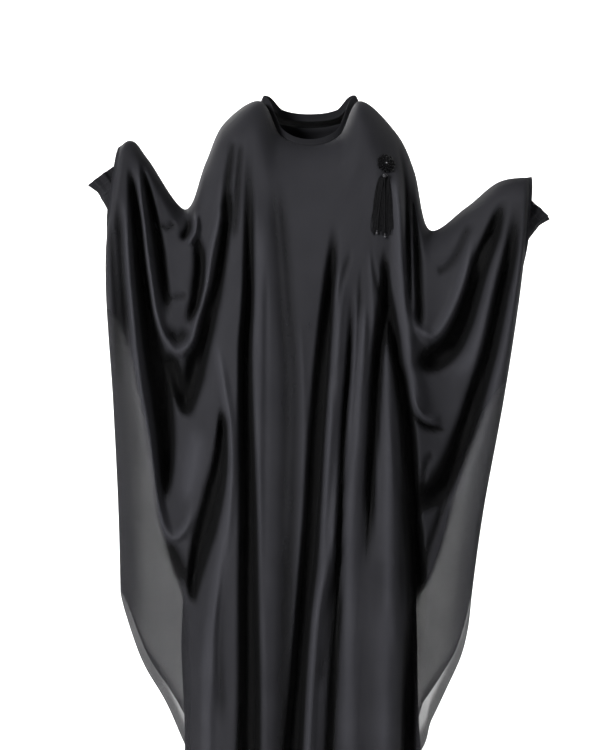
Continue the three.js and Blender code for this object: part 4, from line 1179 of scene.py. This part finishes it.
@dataclass
class Dress:
    """The opaque dress under the cape: front and back panels with side seams."""

    rings: tuple[DressRing, ...] = (
        DressRing(-235, -140, 140, 112, 108),
        DressRing(-330, -148, 148, 112, 108),
        DressRing(-520, -188, 180, 122, 120),
        DressRing(-760, -222, 200, 128, 126),
        DressRing(-1000, -248, 207, 126, 130),
        DressRing(-1200, -242, 212, 127, 136),
        DressRing(-1420, -245, 236, 132, 144),
    )
    neck_half: float = 100
    neck_top: float = 10.3
    neck_depth: dict[Face, float] = field(default_factory=lambda: {Face.FRONT: 72, Face.BACK: 55})
    neck_drop: dict[Face, float] = field(default_factory=lambda: {Face.FRONT: 110, Face.BACK: 38})
    armhole_out: float = 147.5
    armhole_z: float = -126
    armhole_half: float = 79.5
    armhole_depth: float = 66
    armhole_lean: float = 0.03
    armhole_share: float = 0.2
    shoulder_share: float = 0.32
    waves: int = 9
    wave_depth: float = 7
    upper_rows: int = 26
    lower_rows: int = 110
    hem_depth: float = 14
    wave_drop: tuple[float, float] = (420, 1200)
    armhole_columns: int = 24
    shoulder_columns: int = 12
    neck_columns: int = 24

    def armhole(self, side: float, angle: np.ndarray, face: float) -> np.ndarray:
        """Points round an armhole; angle 0 is under the arm and a half turn is the shoulder tip."""
        up = -np.cos(angle) * self.armhole_half
        return np.stack([
            side * (self.armhole_out + up * math.sin(self.armhole_lean)),
            face * np.sin(angle) * self.armhole_depth,
            self.armhole_z + up * math.cos(self.armhole_lean),
        ], axis=-1)

    def top_edge(self, u: np.ndarray, face: Face) -> np.ndarray:
        """The panel's top edge: up the armhole, along the shoulder and round the neck."""
        points = np.zeros((len(u), 3))
        for k, place in enumerate(u):
            side = -1.0 if place < 0.5 else 1.0
            w = min(place, 1 - place)
            tip = self.armhole(side, np.array(math.pi), face.value)
            neck_side = np.array([side * self.neck_half, 0.0, self.neck_top])
            if w < self.armhole_share:
                points[k] = self.armhole(side, np.array(math.pi * w / self.armhole_share), face.value)
            elif w < self.shoulder_share:
                t = (w - self.armhole_share) / (self.shoulder_share - self.armhole_share)
                points[k] = mix(tip, neck_side, t)
            else:
                angle = math.pi / 2 * (w - self.shoulder_share) / (0.5 - self.shoulder_share)
                points[k] = (side * self.neck_half * math.cos(angle),
                             face.value * self.neck_depth[face] * math.sin(angle),
                             self.neck_top - self.neck_drop[face] * math.sin(angle))
        return points

    def section(self, drop: np.ndarray) -> np.ndarray:
        """Left, right, front and back of the dress at drops below the origin."""
        table = np.array([[r.left, r.right, r.front, r.back] for r in self.rings])
        read = curve_through([-r.z for r in self.rings], table, drop.ravel())
        return np.moveaxis(read, 1, 0).reshape(4, *drop.shape)

    def ring(self, u: np.ndarray, z: float, face: Face) -> np.ndarray:
        """A section of the panel at a height."""
        left, right, front, back = (float(n[0]) for n in self.section(np.array([-z])))
        grown = float(smooth(*self.wave_drop, np.array(-z)))
        wave = self.wave_depth * grown * np.cos(2 * math.pi * self.waves * u)
        depth = (front if face is Face.FRONT else back) + wave
        return np.stack([
            (left + right) / 2 - (right - left) / 2 * np.cos(math.pi * u),
            face.value * depth * np.sin(math.pi * u),
            np.full(u.shape, z),
        ], axis=1)

    def columns(self) -> np.ndarray:
        """Column places from one side seam to the other."""
        half = np.concatenate([
            np.linspace(0, self.armhole_share, self.armhole_columns, endpoint=False),
            np.linspace(self.armhole_share, self.shoulder_share, self.shoulder_columns, endpoint=False),
            np.linspace(self.shoulder_share, 0.5, self.neck_columns, endpoint=False),
        ])
        return np.concatenate([half, [0.5], 1 - half[::-1]])

    def panel(self, face: Face, material: bpy.types.Material, stitching: Stitching) -> None:
        """Builds one panel as a thin shell, with its hem's stitches.

        Args:
            face: Front or back.
            material: Its finish.
            stitching: What sews the hem.
        """
        u = self.columns()
        top = self.top_edge(u, face)
        chest_z, hem_z = self.rings[0].z, self.rings[-1].z
        chest = self.ring(u, chest_z, face)
        rows = []
        for s in np.linspace(0, 1, self.upper_rows, endpoint=False):
            row = mix(top, chest, s)
            row[:, 1] = mix(top[:, 1], chest[:, 1], quarter_round(np.array(s), 1.0))
            rows.append(row)
        rows += [self.ring(u, z, face) for z in np.linspace(chest_z, hem_z, self.lower_rows)]
        grid = np.array(rows)
        grid[..., 1] += face.value * SEAM_GAP / 2
        outward = np.zeros(grid.shape)
        outward[..., 0] = np.sign(grid[..., 0]) * 0.3
        outward[..., 1] = face.value
        outward[:5, :, 2] = 0.6
        outward[:, 0] = (-1, 0, 0)
        outward[:, -1] = (1, 0, 0)
        w = np.minimum(u, 1 - u)
        on_shoulder = (w > self.armhole_share - 0.001) & (w < self.shoulder_share + 0.001)
        mesh = shell_from_grid(grid, outward, seam_columns=True, seam_top=on_shoulder)
        node = f"dress_{face.name.lower()}"
        piece = mesh.to_object(f"{node}_cloth", material)
        finish_piece(piece, "dress_cloth", node)
        hem = grid[-1, 2:-2].copy()
        hem[:, 2] += self.hem_depth
        hem[:, 1] += face.value * STITCH_LIFT
        stitches = stitching.sew(f"{node}_hem_stitches", "dress_cloth", [hem])

    def build(self, finishes: Wardrobe, stitching: Stitching) -> None:
        """Builds both panels with their hem stitches."""
        for face in Face:
            self.panel(face, finishes.crepe, stitching)


@dataclass(frozen=True)
class ArmRing:
    """A sleeve section: distance out from the middle, height and radius, in millimetres."""

    out: float
    z: float
    radius: float


@dataclass
class Sleeve:
    """A narrow crepe sleeve from the armhole to the wrist, with its gathered cuff."""

    side: Side
    rings: tuple[ArmRing, ...]
    segments: int = 48
    rows_between: int = 7
    crease: float = 1.5
    cuff_slant: float = 0.5
    cuff_waves: int = 9
    cuff_segments: int = 180
    cuff_along: tuple[float, ...] = (0, 12, 24, 34)
    cuff_radii: tuple[float, ...] = (27, 25, 27.5, 30)
    cuff_wave: tuple[float, ...] = (0.5, 1.4, 2.2, 3.0)
    cuff_rows: int = 34
    stitch_along: tuple[float, ...] = (4.0, 18.0)
    cut: tuple[float, float] = (0.40, 0.42)
    cut_area: float = 0.105
    cuff_cut: tuple[float, float] = (0.22, 0.036)

    ELBOW = (0.42, 0.2, 1.0)
    WRIST = (0.9, 0.12, 0.45)
    RIPPLES = 11
    BARE_ENDS = ((0, 0.12), (1, 0.93))
    FINE_GATHERS = 0.22
    UNEVEN_GATHERS = 0.3

    def word(self) -> str:
        """The side's name."""
        return self.side.name.lower()

    def line(self, cape: Cape) -> np.ndarray:
        """The arm's line through the wing's middle plane."""
        out = np.array([ring.out for ring in self.rings])
        z = np.array([ring.z for ring in self.rings])
        return np.stack([self.side.value * out, cape.middle(out, z), z], axis=1)

    def wrist(self, line: np.ndarray) -> tuple[np.ndarray, np.ndarray]:
        """The arm line's end and the cuff's direction."""
        along = line[-1] - line[-2]
        along[1] *= self.cuff_slant
        return line[-1], unit(along)

    def sleeve_grid(self, cape: Cape, dress: Dress) -> tuple[np.ndarray, np.ndarray]:
        """Outer points of the sleeve, and the middle of each row.

        Args:
            cape: The cape, whose wings the arms run in.
            dress: The dress, whose armholes the sleeves join.

        Returns:
            Points, rows by segments, and the rows' middles.
        """
        side = self.side.value
        line = self.line(cape)
        last = self.wrist(line)[1]
        outwards = np.array([side * math.cos(dress.armhole_lean), 0.0, -math.sin(dress.armhole_lean)])
        angle = np.linspace(0, 2 * math.pi, self.segments, endpoint=False)
        rows = [dress.armhole(side, angle, float(side)) + outwards * SEAM_GAP]
        for k, centre in enumerate(line):
            if k == 0:
                along = unit(unit(line[1] - centre) + outwards)
            elif k == len(line) - 1:
                along = last
            else:
                along = unit(line[k + 1] - line[k - 1])
            radii = np.full(self.segments, self.rings[k].radius, dtype=float)
            rows.append(aligned(ring_points(centre, along, radii), rows[-1]))
        middles = np.concatenate([[[side * dress.armhole_out, 0.0, dress.armhole_z]], line])
        knots = range(len(rows))
        places = np.linspace(0, len(rows) - 1, (len(rows) - 1) * self.rows_between + 1)
        grid = curve_through(knots, np.array(rows), places)
        centres = curve_through(knots, middles, places)
        share = (places / places[-1])[:, None]
        bend = sum(much * np.exp(-(((share - at) / spread) ** 2))
                   for at, spread, much in (self.ELBOW, self.WRIST))
        slant = 1.7 * np.sin(angle + 0.6)
        ripple = np.sin(2 * math.pi * self.RIPPLES * share + slant) * (0.6 + 0.4 * np.cos(angle))
        ends = smooth(*self.BARE_ENDS[0], share) * smooth(*self.BARE_ENDS[1], share)
        radial = unit(grid - centres[:, None])
        grid = grid + radial * (self.crease * bend * ends * (ripple - 1))[..., None]
        return grid, centres

    def cuff_grid(self, cape: Cape) -> tuple[np.ndarray, np.ndarray]:
        """Outer points of the frilled cuff, and the middle of each row."""
        end, along = self.wrist(self.line(cape))
        at = np.linspace(self.cuff_along[0], self.cuff_along[-1], self.cuff_rows)
        shape = np.stack([self.cuff_radii, self.cuff_wave], axis=1)
        read = curve_through(self.cuff_along, shape, at)
        angle = np.linspace(0, 2 * math.pi, self.cuff_segments, endpoint=False)
        middles = end + along * (at + SEAM_GAP)[:, None]
        rows = []
        for centre, (radius, wave), place in zip(middles, read, at):
            gathers = wave * np.cos(self.cuff_waves * angle)
            fine = self.FINE_GATHERS * wave * np.sin(2 * self.cuff_waves * angle + 1.1)
            uneven = self.UNEVEN_GATHERS * wave * np.cos(2 * angle + 0.7) * place / self.cuff_along[-1]
            rows.append(ring_points(centre, along, radius + gathers + fine + uneven))
        return np.array(rows), middles

    def build(self, cape: Cape, dress: Dress, finishes: Wardrobe, stitching: Stitching) -> None:
        """Builds the sleeve and its cuff, with the cuff's stitches.

        Args:
            cape: The cape, whose wings the arms run in.
            dress: The dress, whose armholes the sleeves join.
            finishes: The garment's finishes.
            stitching: What sews the cuff.
        """
        grid, centres = self.sleeve_grid(cape, dress)
        tube = shell_from_grid(grid, grid - centres[:, None], wraps=True, radial_ends=True)
        sleeve = tube.to_object(f"sleeve_{self.word()}_cloth", finishes.crepe)
        finish_piece(sleeve, "dress_cloth", f"sleeve_{self.word()}")
        grid, centres = self.cuff_grid(cape)
        frill = shell_from_grid(grid, grid - centres[:, None], wraps=True, radial_ends=True)
        cuff = frill.to_object(f"cuff_{self.word()}_cloth", finishes.crepe)
        finish_piece(cuff, "dress_cloth", f"cuff_{self.word()}")
        at = np.linspace(self.cuff_along[0], self.cuff_along[-1], self.cuff_rows)
        lines = []
        for place in self.stitch_along:
            row = int(np.argmin(np.abs(at - place)))
            ring = grid[row] + unit(grid[row] - centres[row]) * STITCH_LIFT
            lines.append(np.concatenate([ring, ring[:1]]))
        stitches = stitching.sew(f"cuff_{self.word()}_stitches", "dress_cloth", lines)


SLEEVES = {
    Side.RIGHT: Sleeve(Side.RIGHT, (
        ArmRing(177, -164, 38), ArmRing(188, -222, 34), ArmRing(200, -268, 35), ArmRing(236, -299, 35),
        ArmRing(272, -272, 34), ArmRing(308, -236, 32), ArmRing(346, -200, 30), ArmRing(369, -168, 27))),
    Side.LEFT: Sleeve(Side.LEFT, (
        ArmRing(172, -168, 33), ArmRing(182, -230, 31), ArmRing(197, -296, 35), ArmRing(237, -334, 36),
        ArmRing(284, -318, 35), ArmRing(332, -286, 33), ArmRing(376, -254, 30), ArmRing(400, -226, 27))),
}


@dataclass
class Neckband:
    """The narrow double band that stands on the cape's neck edge."""

    height: float = 13
    tuck: float = 2.2
    lean: float = 0.06
    rows: int = 12
    crown: float = 0.5
    stitch_height: float = 3.2
    stitch_lift: float = 0.35
    thickness: float = 1.6

    LEVEL = np.array([1.0, 1.0, 0.0])

    def build(self, cape: Cape, finishes: Wardrobe, stitching: Stitching) -> None:
        """Builds the band and its stitches.

        Args:
            cape: The cape, whose neck edge carries the band.
            finishes: The garment's finishes.
            stitching: What sews the band.
        """
        u = cape.columns()
        at_neck = (u >= cape.neck_guides[0]) & (u <= cape.neck_guides[1])
        front = cape.grids[Face.FRONT][0][at_neck]
        back = cape.grids[Face.BACK][0][at_neck][::-1]
        edge = np.concatenate([front, back])
        heights = np.linspace(self.height, -self.tuck, self.rows)
        grid = np.array([self.row(edge, height) for height in heights])
        band = shell_from_grid(grid, grid * self.LEVEL, thickness=self.thickness, wraps=True)
        piece = band.to_object("neckband_cloth", finishes.crepe)
        finish_piece(piece, "cape_cloth", "neckband")
        line = self.row(edge, self.stitch_height)
        line = line + unit(line * self.LEVEL) * self.stitch_lift
        stitches = stitching.sew("neckband_stitches", "cape_cloth", [np.concatenate([line, line[:1]])])

    def row(self, edge: np.ndarray, height: float) -> np.ndarray:
        """The band's outer points at a height above the neck edge, or just inside below it."""
        share = height / self.height
        out = 1 - self.lean * abs(share)
        points = edge * np.array([out, out, 1.0])
        swell = self.crown * math.sin(math.pi * min(1.0, max(0.0, share)))
        points = points + unit(edge * self.LEVEL) * swell
        points[:, 2] += height
        return points


@dataclass(frozen=True)
class PetalLayer:
    """One ruffled layer of the rosette, in millimetres."""

    radius: float
    lift: float
    rise: float
    petals: int
    ruffle: float
    turn: float


def depth_on(grid: np.ndarray, x: np.ndarray, z: np.ndarray, blur: float = 4.0) -> np.ndarray:
    """Depth of a sheet at places on it, from the nearest of its points.

    Args:
        grid: The sheet's outer points.
        x: Across.
        z: Up.
        blur: How far points count, in millimetres.

    Returns:
        The depth at each place.
    """
    half_across, half_up = 90, 140
    near = grid.reshape(-1, 3)
    box = (np.abs(near[:, 0] - x.mean()) < half_across) & (np.abs(near[:, 2] - z.mean()) < half_up)
    near = near[box]
    apart = (x.ravel()[:, None] - near[:, 0]) ** 2 + (z.ravel()[:, None] - near[:, 2]) ** 2
    weight = np.exp(-apart / (2 * blur * blur)) + 1e-12
    return ((weight * near[:, 1]).sum(axis=1) / weight.sum(axis=1)).reshape(x.shape)


@dataclass
class Tie:
    """The cloth rosette on the left chest, and its tassel of two cords that end in beads."""

    x: float = 141
    z: float = -121
    layers: tuple[PetalLayer, ...] = (
        PetalLayer(17.5, 2.0, 2.5, 7, 1.5, 0.0),
        PetalLayer(13.5, 4.2, 2.2, 6, 1.3, 0.5),
        PetalLayer(9.5, 6.2, 1.6, 5, 1.0, 0.2),
        PetalLayer(5.5, 7.6, 0.8, 4, 0.6, 0.9),
    )
    segments: int = 96
    layer_rows: int = 9
    petal_cloth: float = 0.7
    tassel_x: float = 137
    tassel_top: float = -140
    head_radius: float = 4.5
    head_stand_off: float = 1.6
    strand_radius: float = 1.1
    strand_bead: float = 3.0
    stand_off: float = 3.6
    spread: float = 0.7
    settles_by: float = 0.3
    strand_ends: tuple[tuple[float, float], ...] = ((123, -251), (138, -257))
    fringe_strands: int = 96
    fringe_half_width: float = 20
    fringe_middle: float = 132
    fringe_length: tuple[float, float] = (92, 112)
    fringe_radius: float = 0.42
    fringe_root: float = 5.0
    fringe_flare: float = 0.45
    fringe_stray: float = 1.5
    fringe_wave: float = 1.3
    fringe_turns: tuple[float, float] = (1.2, 2.6)
    fringe_gap: float = 1.8
    fringe_lift: float = 1.6
    fringe_places: int = 26
    fringe_seed: int = 11
    petal_hole: float = 0.06
    petal_notch: float = 0.2
    petal_gap: float = 0.9
    bead_out: float = 9.2
    bead_radius: float = 2.6
    cord_places: int = 90
    cord_turns: int = 22
    ply_out: float = 0.45
    ply_radius: float = 0.62
    small_bead: float = 1.9
    bead_gap: float = 0.9

    def petals(self, layer: PetalLayer, sheet: np.ndarray) -> Mesh:
        """One ruffled layer as a thin shell."""
        angle = np.linspace(0, 2 * math.pi, self.segments, endpoint=False)[None, :]
        share = np.linspace(1.0, self.petal_hole, self.layer_rows)[:, None]
        lobes = np.abs(np.cos(layer.petals * (angle + layer.turn) / 2))
        reach = layer.radius * share * (1 - self.petal_notch * share * (1 - lobes) ** 2)
        px, pz = self.x + reach * np.cos(angle), self.z + reach * np.sin(angle)
        ruffle = np.cos(2 * layer.petals * (angle + layer.turn) + 0.8 * np.sin(3 * angle))
        wave = layer.ruffle * share**2 * ruffle
        out = self.petal_gap + layer.lift + layer.rise * (share**2 - 0.5) + wave
        y = depth_on(sheet, px, pz) - out
        grid = np.stack([px, y, pz], axis=2)
        outward = np.zeros(grid.shape)
        outward[..., 1] = -1
        return shell_from_grid(grid, outward, thickness=self.petal_cloth, wraps=True)

    def build_rosette(self, sheet: np.ndarray, finishes: Wardrobe) -> None:
        """Builds the rosette and its middle bead."""
        rosette = joined([self.petals(layer, sheet) for layer in self.layers])
        piece = rosette.to_object("tie_rosette_petals", finishes.ribbon)
        finish_piece(piece, "trim", "tie_rosette")
        middle = np.array([self.x, 0.0, self.z])
        middle[1] = depth_on(sheet, middle[:1], middle[2:])[0] - self.bead_out
        bead = ball(middle, self.bead_radius, ridges=8).to_object("tie_rosette_bead", finishes.bead)
        finish_piece(bead, "trim")

    def build_tassel(self, sheet: np.ndarray, finishes: Wardrobe) -> None:
        """Builds the tassel's head, its two twisted cords and their beads."""
        off = self.head_radius + self.head_stand_off
        head = np.array([self.tassel_x, 0.0, self.tassel_top - self.head_radius])
        head[1] = depth_on(sheet, head[:1], head[2:])[0] - off
        cords: list[Mesh] = []
        beads = [ball(head, self.head_radius, ridges=10)]
        share = np.linspace(0, 1, self.cord_places)
        for x, z in self.strand_ends:
            px = mix(head[0], x, share**self.spread)
            pz = mix(head[2], z, share)
            y = depth_on(sheet, px, pz) - mix(off, self.stand_off, smooth(0, self.settles_by, share))
            path = np.stack([px, y, pz], axis=1)
            for ply in (0.0, math.pi):
                twist = ply + 2 * math.pi * share * self.cord_turns
                shift = np.stack([np.cos(twist), np.sin(twist), 0 * twist], axis=1)
                shift = shift * self.strand_radius * self.ply_out
                cords.append(rod(path + shift, np.full(len(path), self.strand_radius * self.ply_radius), 8))
            beads.append(ball(path[-1], self.strand_bead, ridges=8))
            beads.append(ball(path[-1] + (0, 0, self.strand_bead + self.bead_gap), self.small_bead))
        strands = joined(cords).to_object("tie_tassel_cords", finishes.ribbon)
        finish_piece(strands, "trim", "tie_tassel")
        finish_piece(joined(beads).to_object("tie_tassel_beads", finishes.bead), "trim")

    def build_fringe(self, sheet: np.ndarray, finishes: Wardrobe) -> None:
        """Builds the fine fringe behind the two cords.

        Args:
            sheet: The cape's front sheet, on which the fringe lies.
            finishes: The garment's finishes.
        """
        chance = np.random.default_rng(self.fringe_seed)
        share = np.linspace(0, 1, self.fringe_places)
        strands: list[Mesh] = []
        for number in range(self.fringe_strands):
            across = 2 * (number + 0.5) / self.fringe_strands - 1
            stray = chance.uniform(-self.fringe_stray, self.fringe_stray)
            end = self.fringe_middle + across * self.fringe_half_width + stray
            length = chance.uniform(*self.fringe_length)
            turns = share * chance.uniform(*self.fringe_turns) + chance.uniform()
            wave = self.fringe_wave * np.sin(2 * math.pi * turns)
            px = mix(self.tassel_x + across * self.fringe_root, end, share**self.fringe_flare) + wave * share
            pz = self.tassel_top - self.head_radius - share * length
            lift = self.fringe_lift * chance.uniform() * np.sin(math.pi * share)
            y = depth_on(sheet, px, pz) - self.fringe_gap - lift
            strands.append(rod(np.stack([px, y, pz], axis=1), np.full(len(share), self.fringe_radius), 4))
        finish_piece(joined(strands).to_object("tie_tassel_fringe", finishes.ribbon), "trim")

    def build(self, cape: Cape, finishes: Wardrobe) -> None:
        """Builds the whole tie on the cape's front sheet."""
        sheet = cape.grids[Face.FRONT]
        self.build_rosette(sheet, finishes)
        self.build_tassel(sheet, finishes)
        self.build_fringe(sheet, finishes)


@dataclass
class Studio:
    """Pale floor and curved backdrop, soft lights and the camera."""

    floor_z: float = -1421.0
    distance: float = 3.3
    silhouette_y: float = -0.06
    sensor: float = 24.0
    world_strength: float = 0.08
    seen_strength: float = 0.85
    paper_glow: float = 0.5

    PAPER = (0.86, 0.86, 0.86, 1.0)
    AIM = (0.0, 0.0, -0.5)

    def stage(self) -> None:
        """Builds the floor and backdrop as one sweep."""
        half, near, far, bend, height = 9.0, -7.0, 5.2, 1.4, 6.4
        profile = [(near, 0.0), (far - bend, 0.0)]
        profile += [(far - bend + bend * math.sin(a), bend - bend * math.cos(a))
                    for a in np.linspace(0.1, math.pi / 2, 12)]
        profile.append((far, height))
        points = [(x, y, z + self.floor_z * MM) for y, z in profile for x in (-half, half)]
        faces = [(2 * k, 2 * k + 1, 2 * k + 3, 2 * k + 2) for k in range(len(profile) - 1)]
        mesh = bpy.data.meshes.new("studio_sweep")
        mesh.from_pydata(points, [], faces)
        mesh.polygons.foreach_set("use_smooth", [True] * len(faces))
        material, nodes = new_material("pale_paper")
        seen = nodes.add("ShaderNodeLightPath").outputs["Is Camera Ray"]
        shader = nodes.add("ShaderNodeBsdfPrincipled", {
            "Base Color": self.PAPER, "Roughness": 0.9, "Emission Color": self.PAPER,
            "Emission Strength": nodes.math("MULTIPLY", seen, self.paper_glow)})
        nodes.add("ShaderNodeOutputMaterial", {"Surface": shader.outputs["BSDF"]})
        mesh.materials.append(material)
        sweep = placed("studio_sweep", mesh)

    def light(self, name: str, place: tuple[float, float, float], size: float, power: float,
              aim_at: tuple[float, float, float] = AIM) -> None:
        """Adds a soft round light that looks at the garment's middle or another place."""
        data = bpy.data.lights.new(name, "AREA")
        data.shape = "DISK"
        data.size = size
        data.energy = power
        lamp = placed(name, data)
        lamp.location = place
        aim = Vector(aim_at) - Vector(place)
        lamp.rotation_euler = aim.to_track_quat("-Z", "Y").to_euler()

    def lights(self) -> None:
        """Adds the studio's lights and a pale surround."""
        self.light("key", (-1.9, -2.9, 0.6), 0.9, 165.0)
        self.light("fill", (2.2, -2.9, 0.1), 1.8, 16.0)
        self.light("top", (-0.3, -0.8, 2.4), 1.6, 4.0)
        self.light("paper_left", (-3.2, 2.0, 1.4), 1.4, 210.0, (-0.8, 5.2, -0.2))
        self.light("paper_right", (3.2, 2.0, 1.4), 1.4, 210.0, (0.8, 5.2, -0.2))
        self.light("behind", (-1.2, 2.6, 1.3), 1.2, 60.0)
        world = bpy.data.worlds.new("surround")
        world.use_nodes = True
        nodes = Nodes(world.node_tree)
        seen = nodes.add("ShaderNodeLightPath").outputs["Is Camera Ray"]
        strength = nodes.scaled(seen, self.seen_strength - self.world_strength, self.world_strength)
        pale = nodes.add("ShaderNodeBackground", {"Color": (1.0, 1.0, 1.0, 1.0), "Strength": strength})
        nodes.add("ShaderNodeOutputWorld", {"Surface": pale.outputs["Background"]})
        bpy.context.scene.world = world
        bpy.context.scene.view_settings.view_transform = "Standard"

    def camera(self) -> None:
        """Adds the camera with the photograph's framing at the silhouette's plane."""
        across = (PHOTO_WIDTH / 2 - NECK_PIXEL[0]) * MM_PER_PIXEL * MM
        up = (NECK_PIXEL[1] - PHOTO_HEIGHT / 2) * MM_PER_PIXEL * MM
        height = PHOTO_HEIGHT * MM_PER_PIXEL * MM
        data = bpy.data.cameras.new("camera")
        data.sensor_fit = "VERTICAL"
        data.sensor_height = self.sensor
        data.lens = self.sensor * (self.distance + self.silhouette_y) / height
        data.clip_end = 50.0
        camera = placed("camera", data)
        camera.location = (across, -self.distance, up)
        camera.rotation_euler = (math.pi / 2, 0.0, 0.0)
        bpy.context.scene.camera = camera

    def build(self) -> None:
        """Builds the whole studio."""
        self.camera()
        self.stage()
        self.lights()


def main() -> None:
    """Builds the pieces in order and logs each one."""
    logging.basicConfig(level=logging.INFO, format="%(name)s %(message)s")
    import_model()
    Studio().build()
    finishes = Wardrobe.build()
    stitching = Stitching(finishes.thread)
    cape = Cape()
    cape.build(finishes, stitching)
    cape.dress.build(finishes, stitching)
    for sleeve in SLEEVES.values():
        sleeve.build(cape, cape.dress, finishes, stitching)
    Neckband().build(cape, finishes, stitching)
    Tie().build(cape, finishes)


if __name__ == "__main__":
    main()
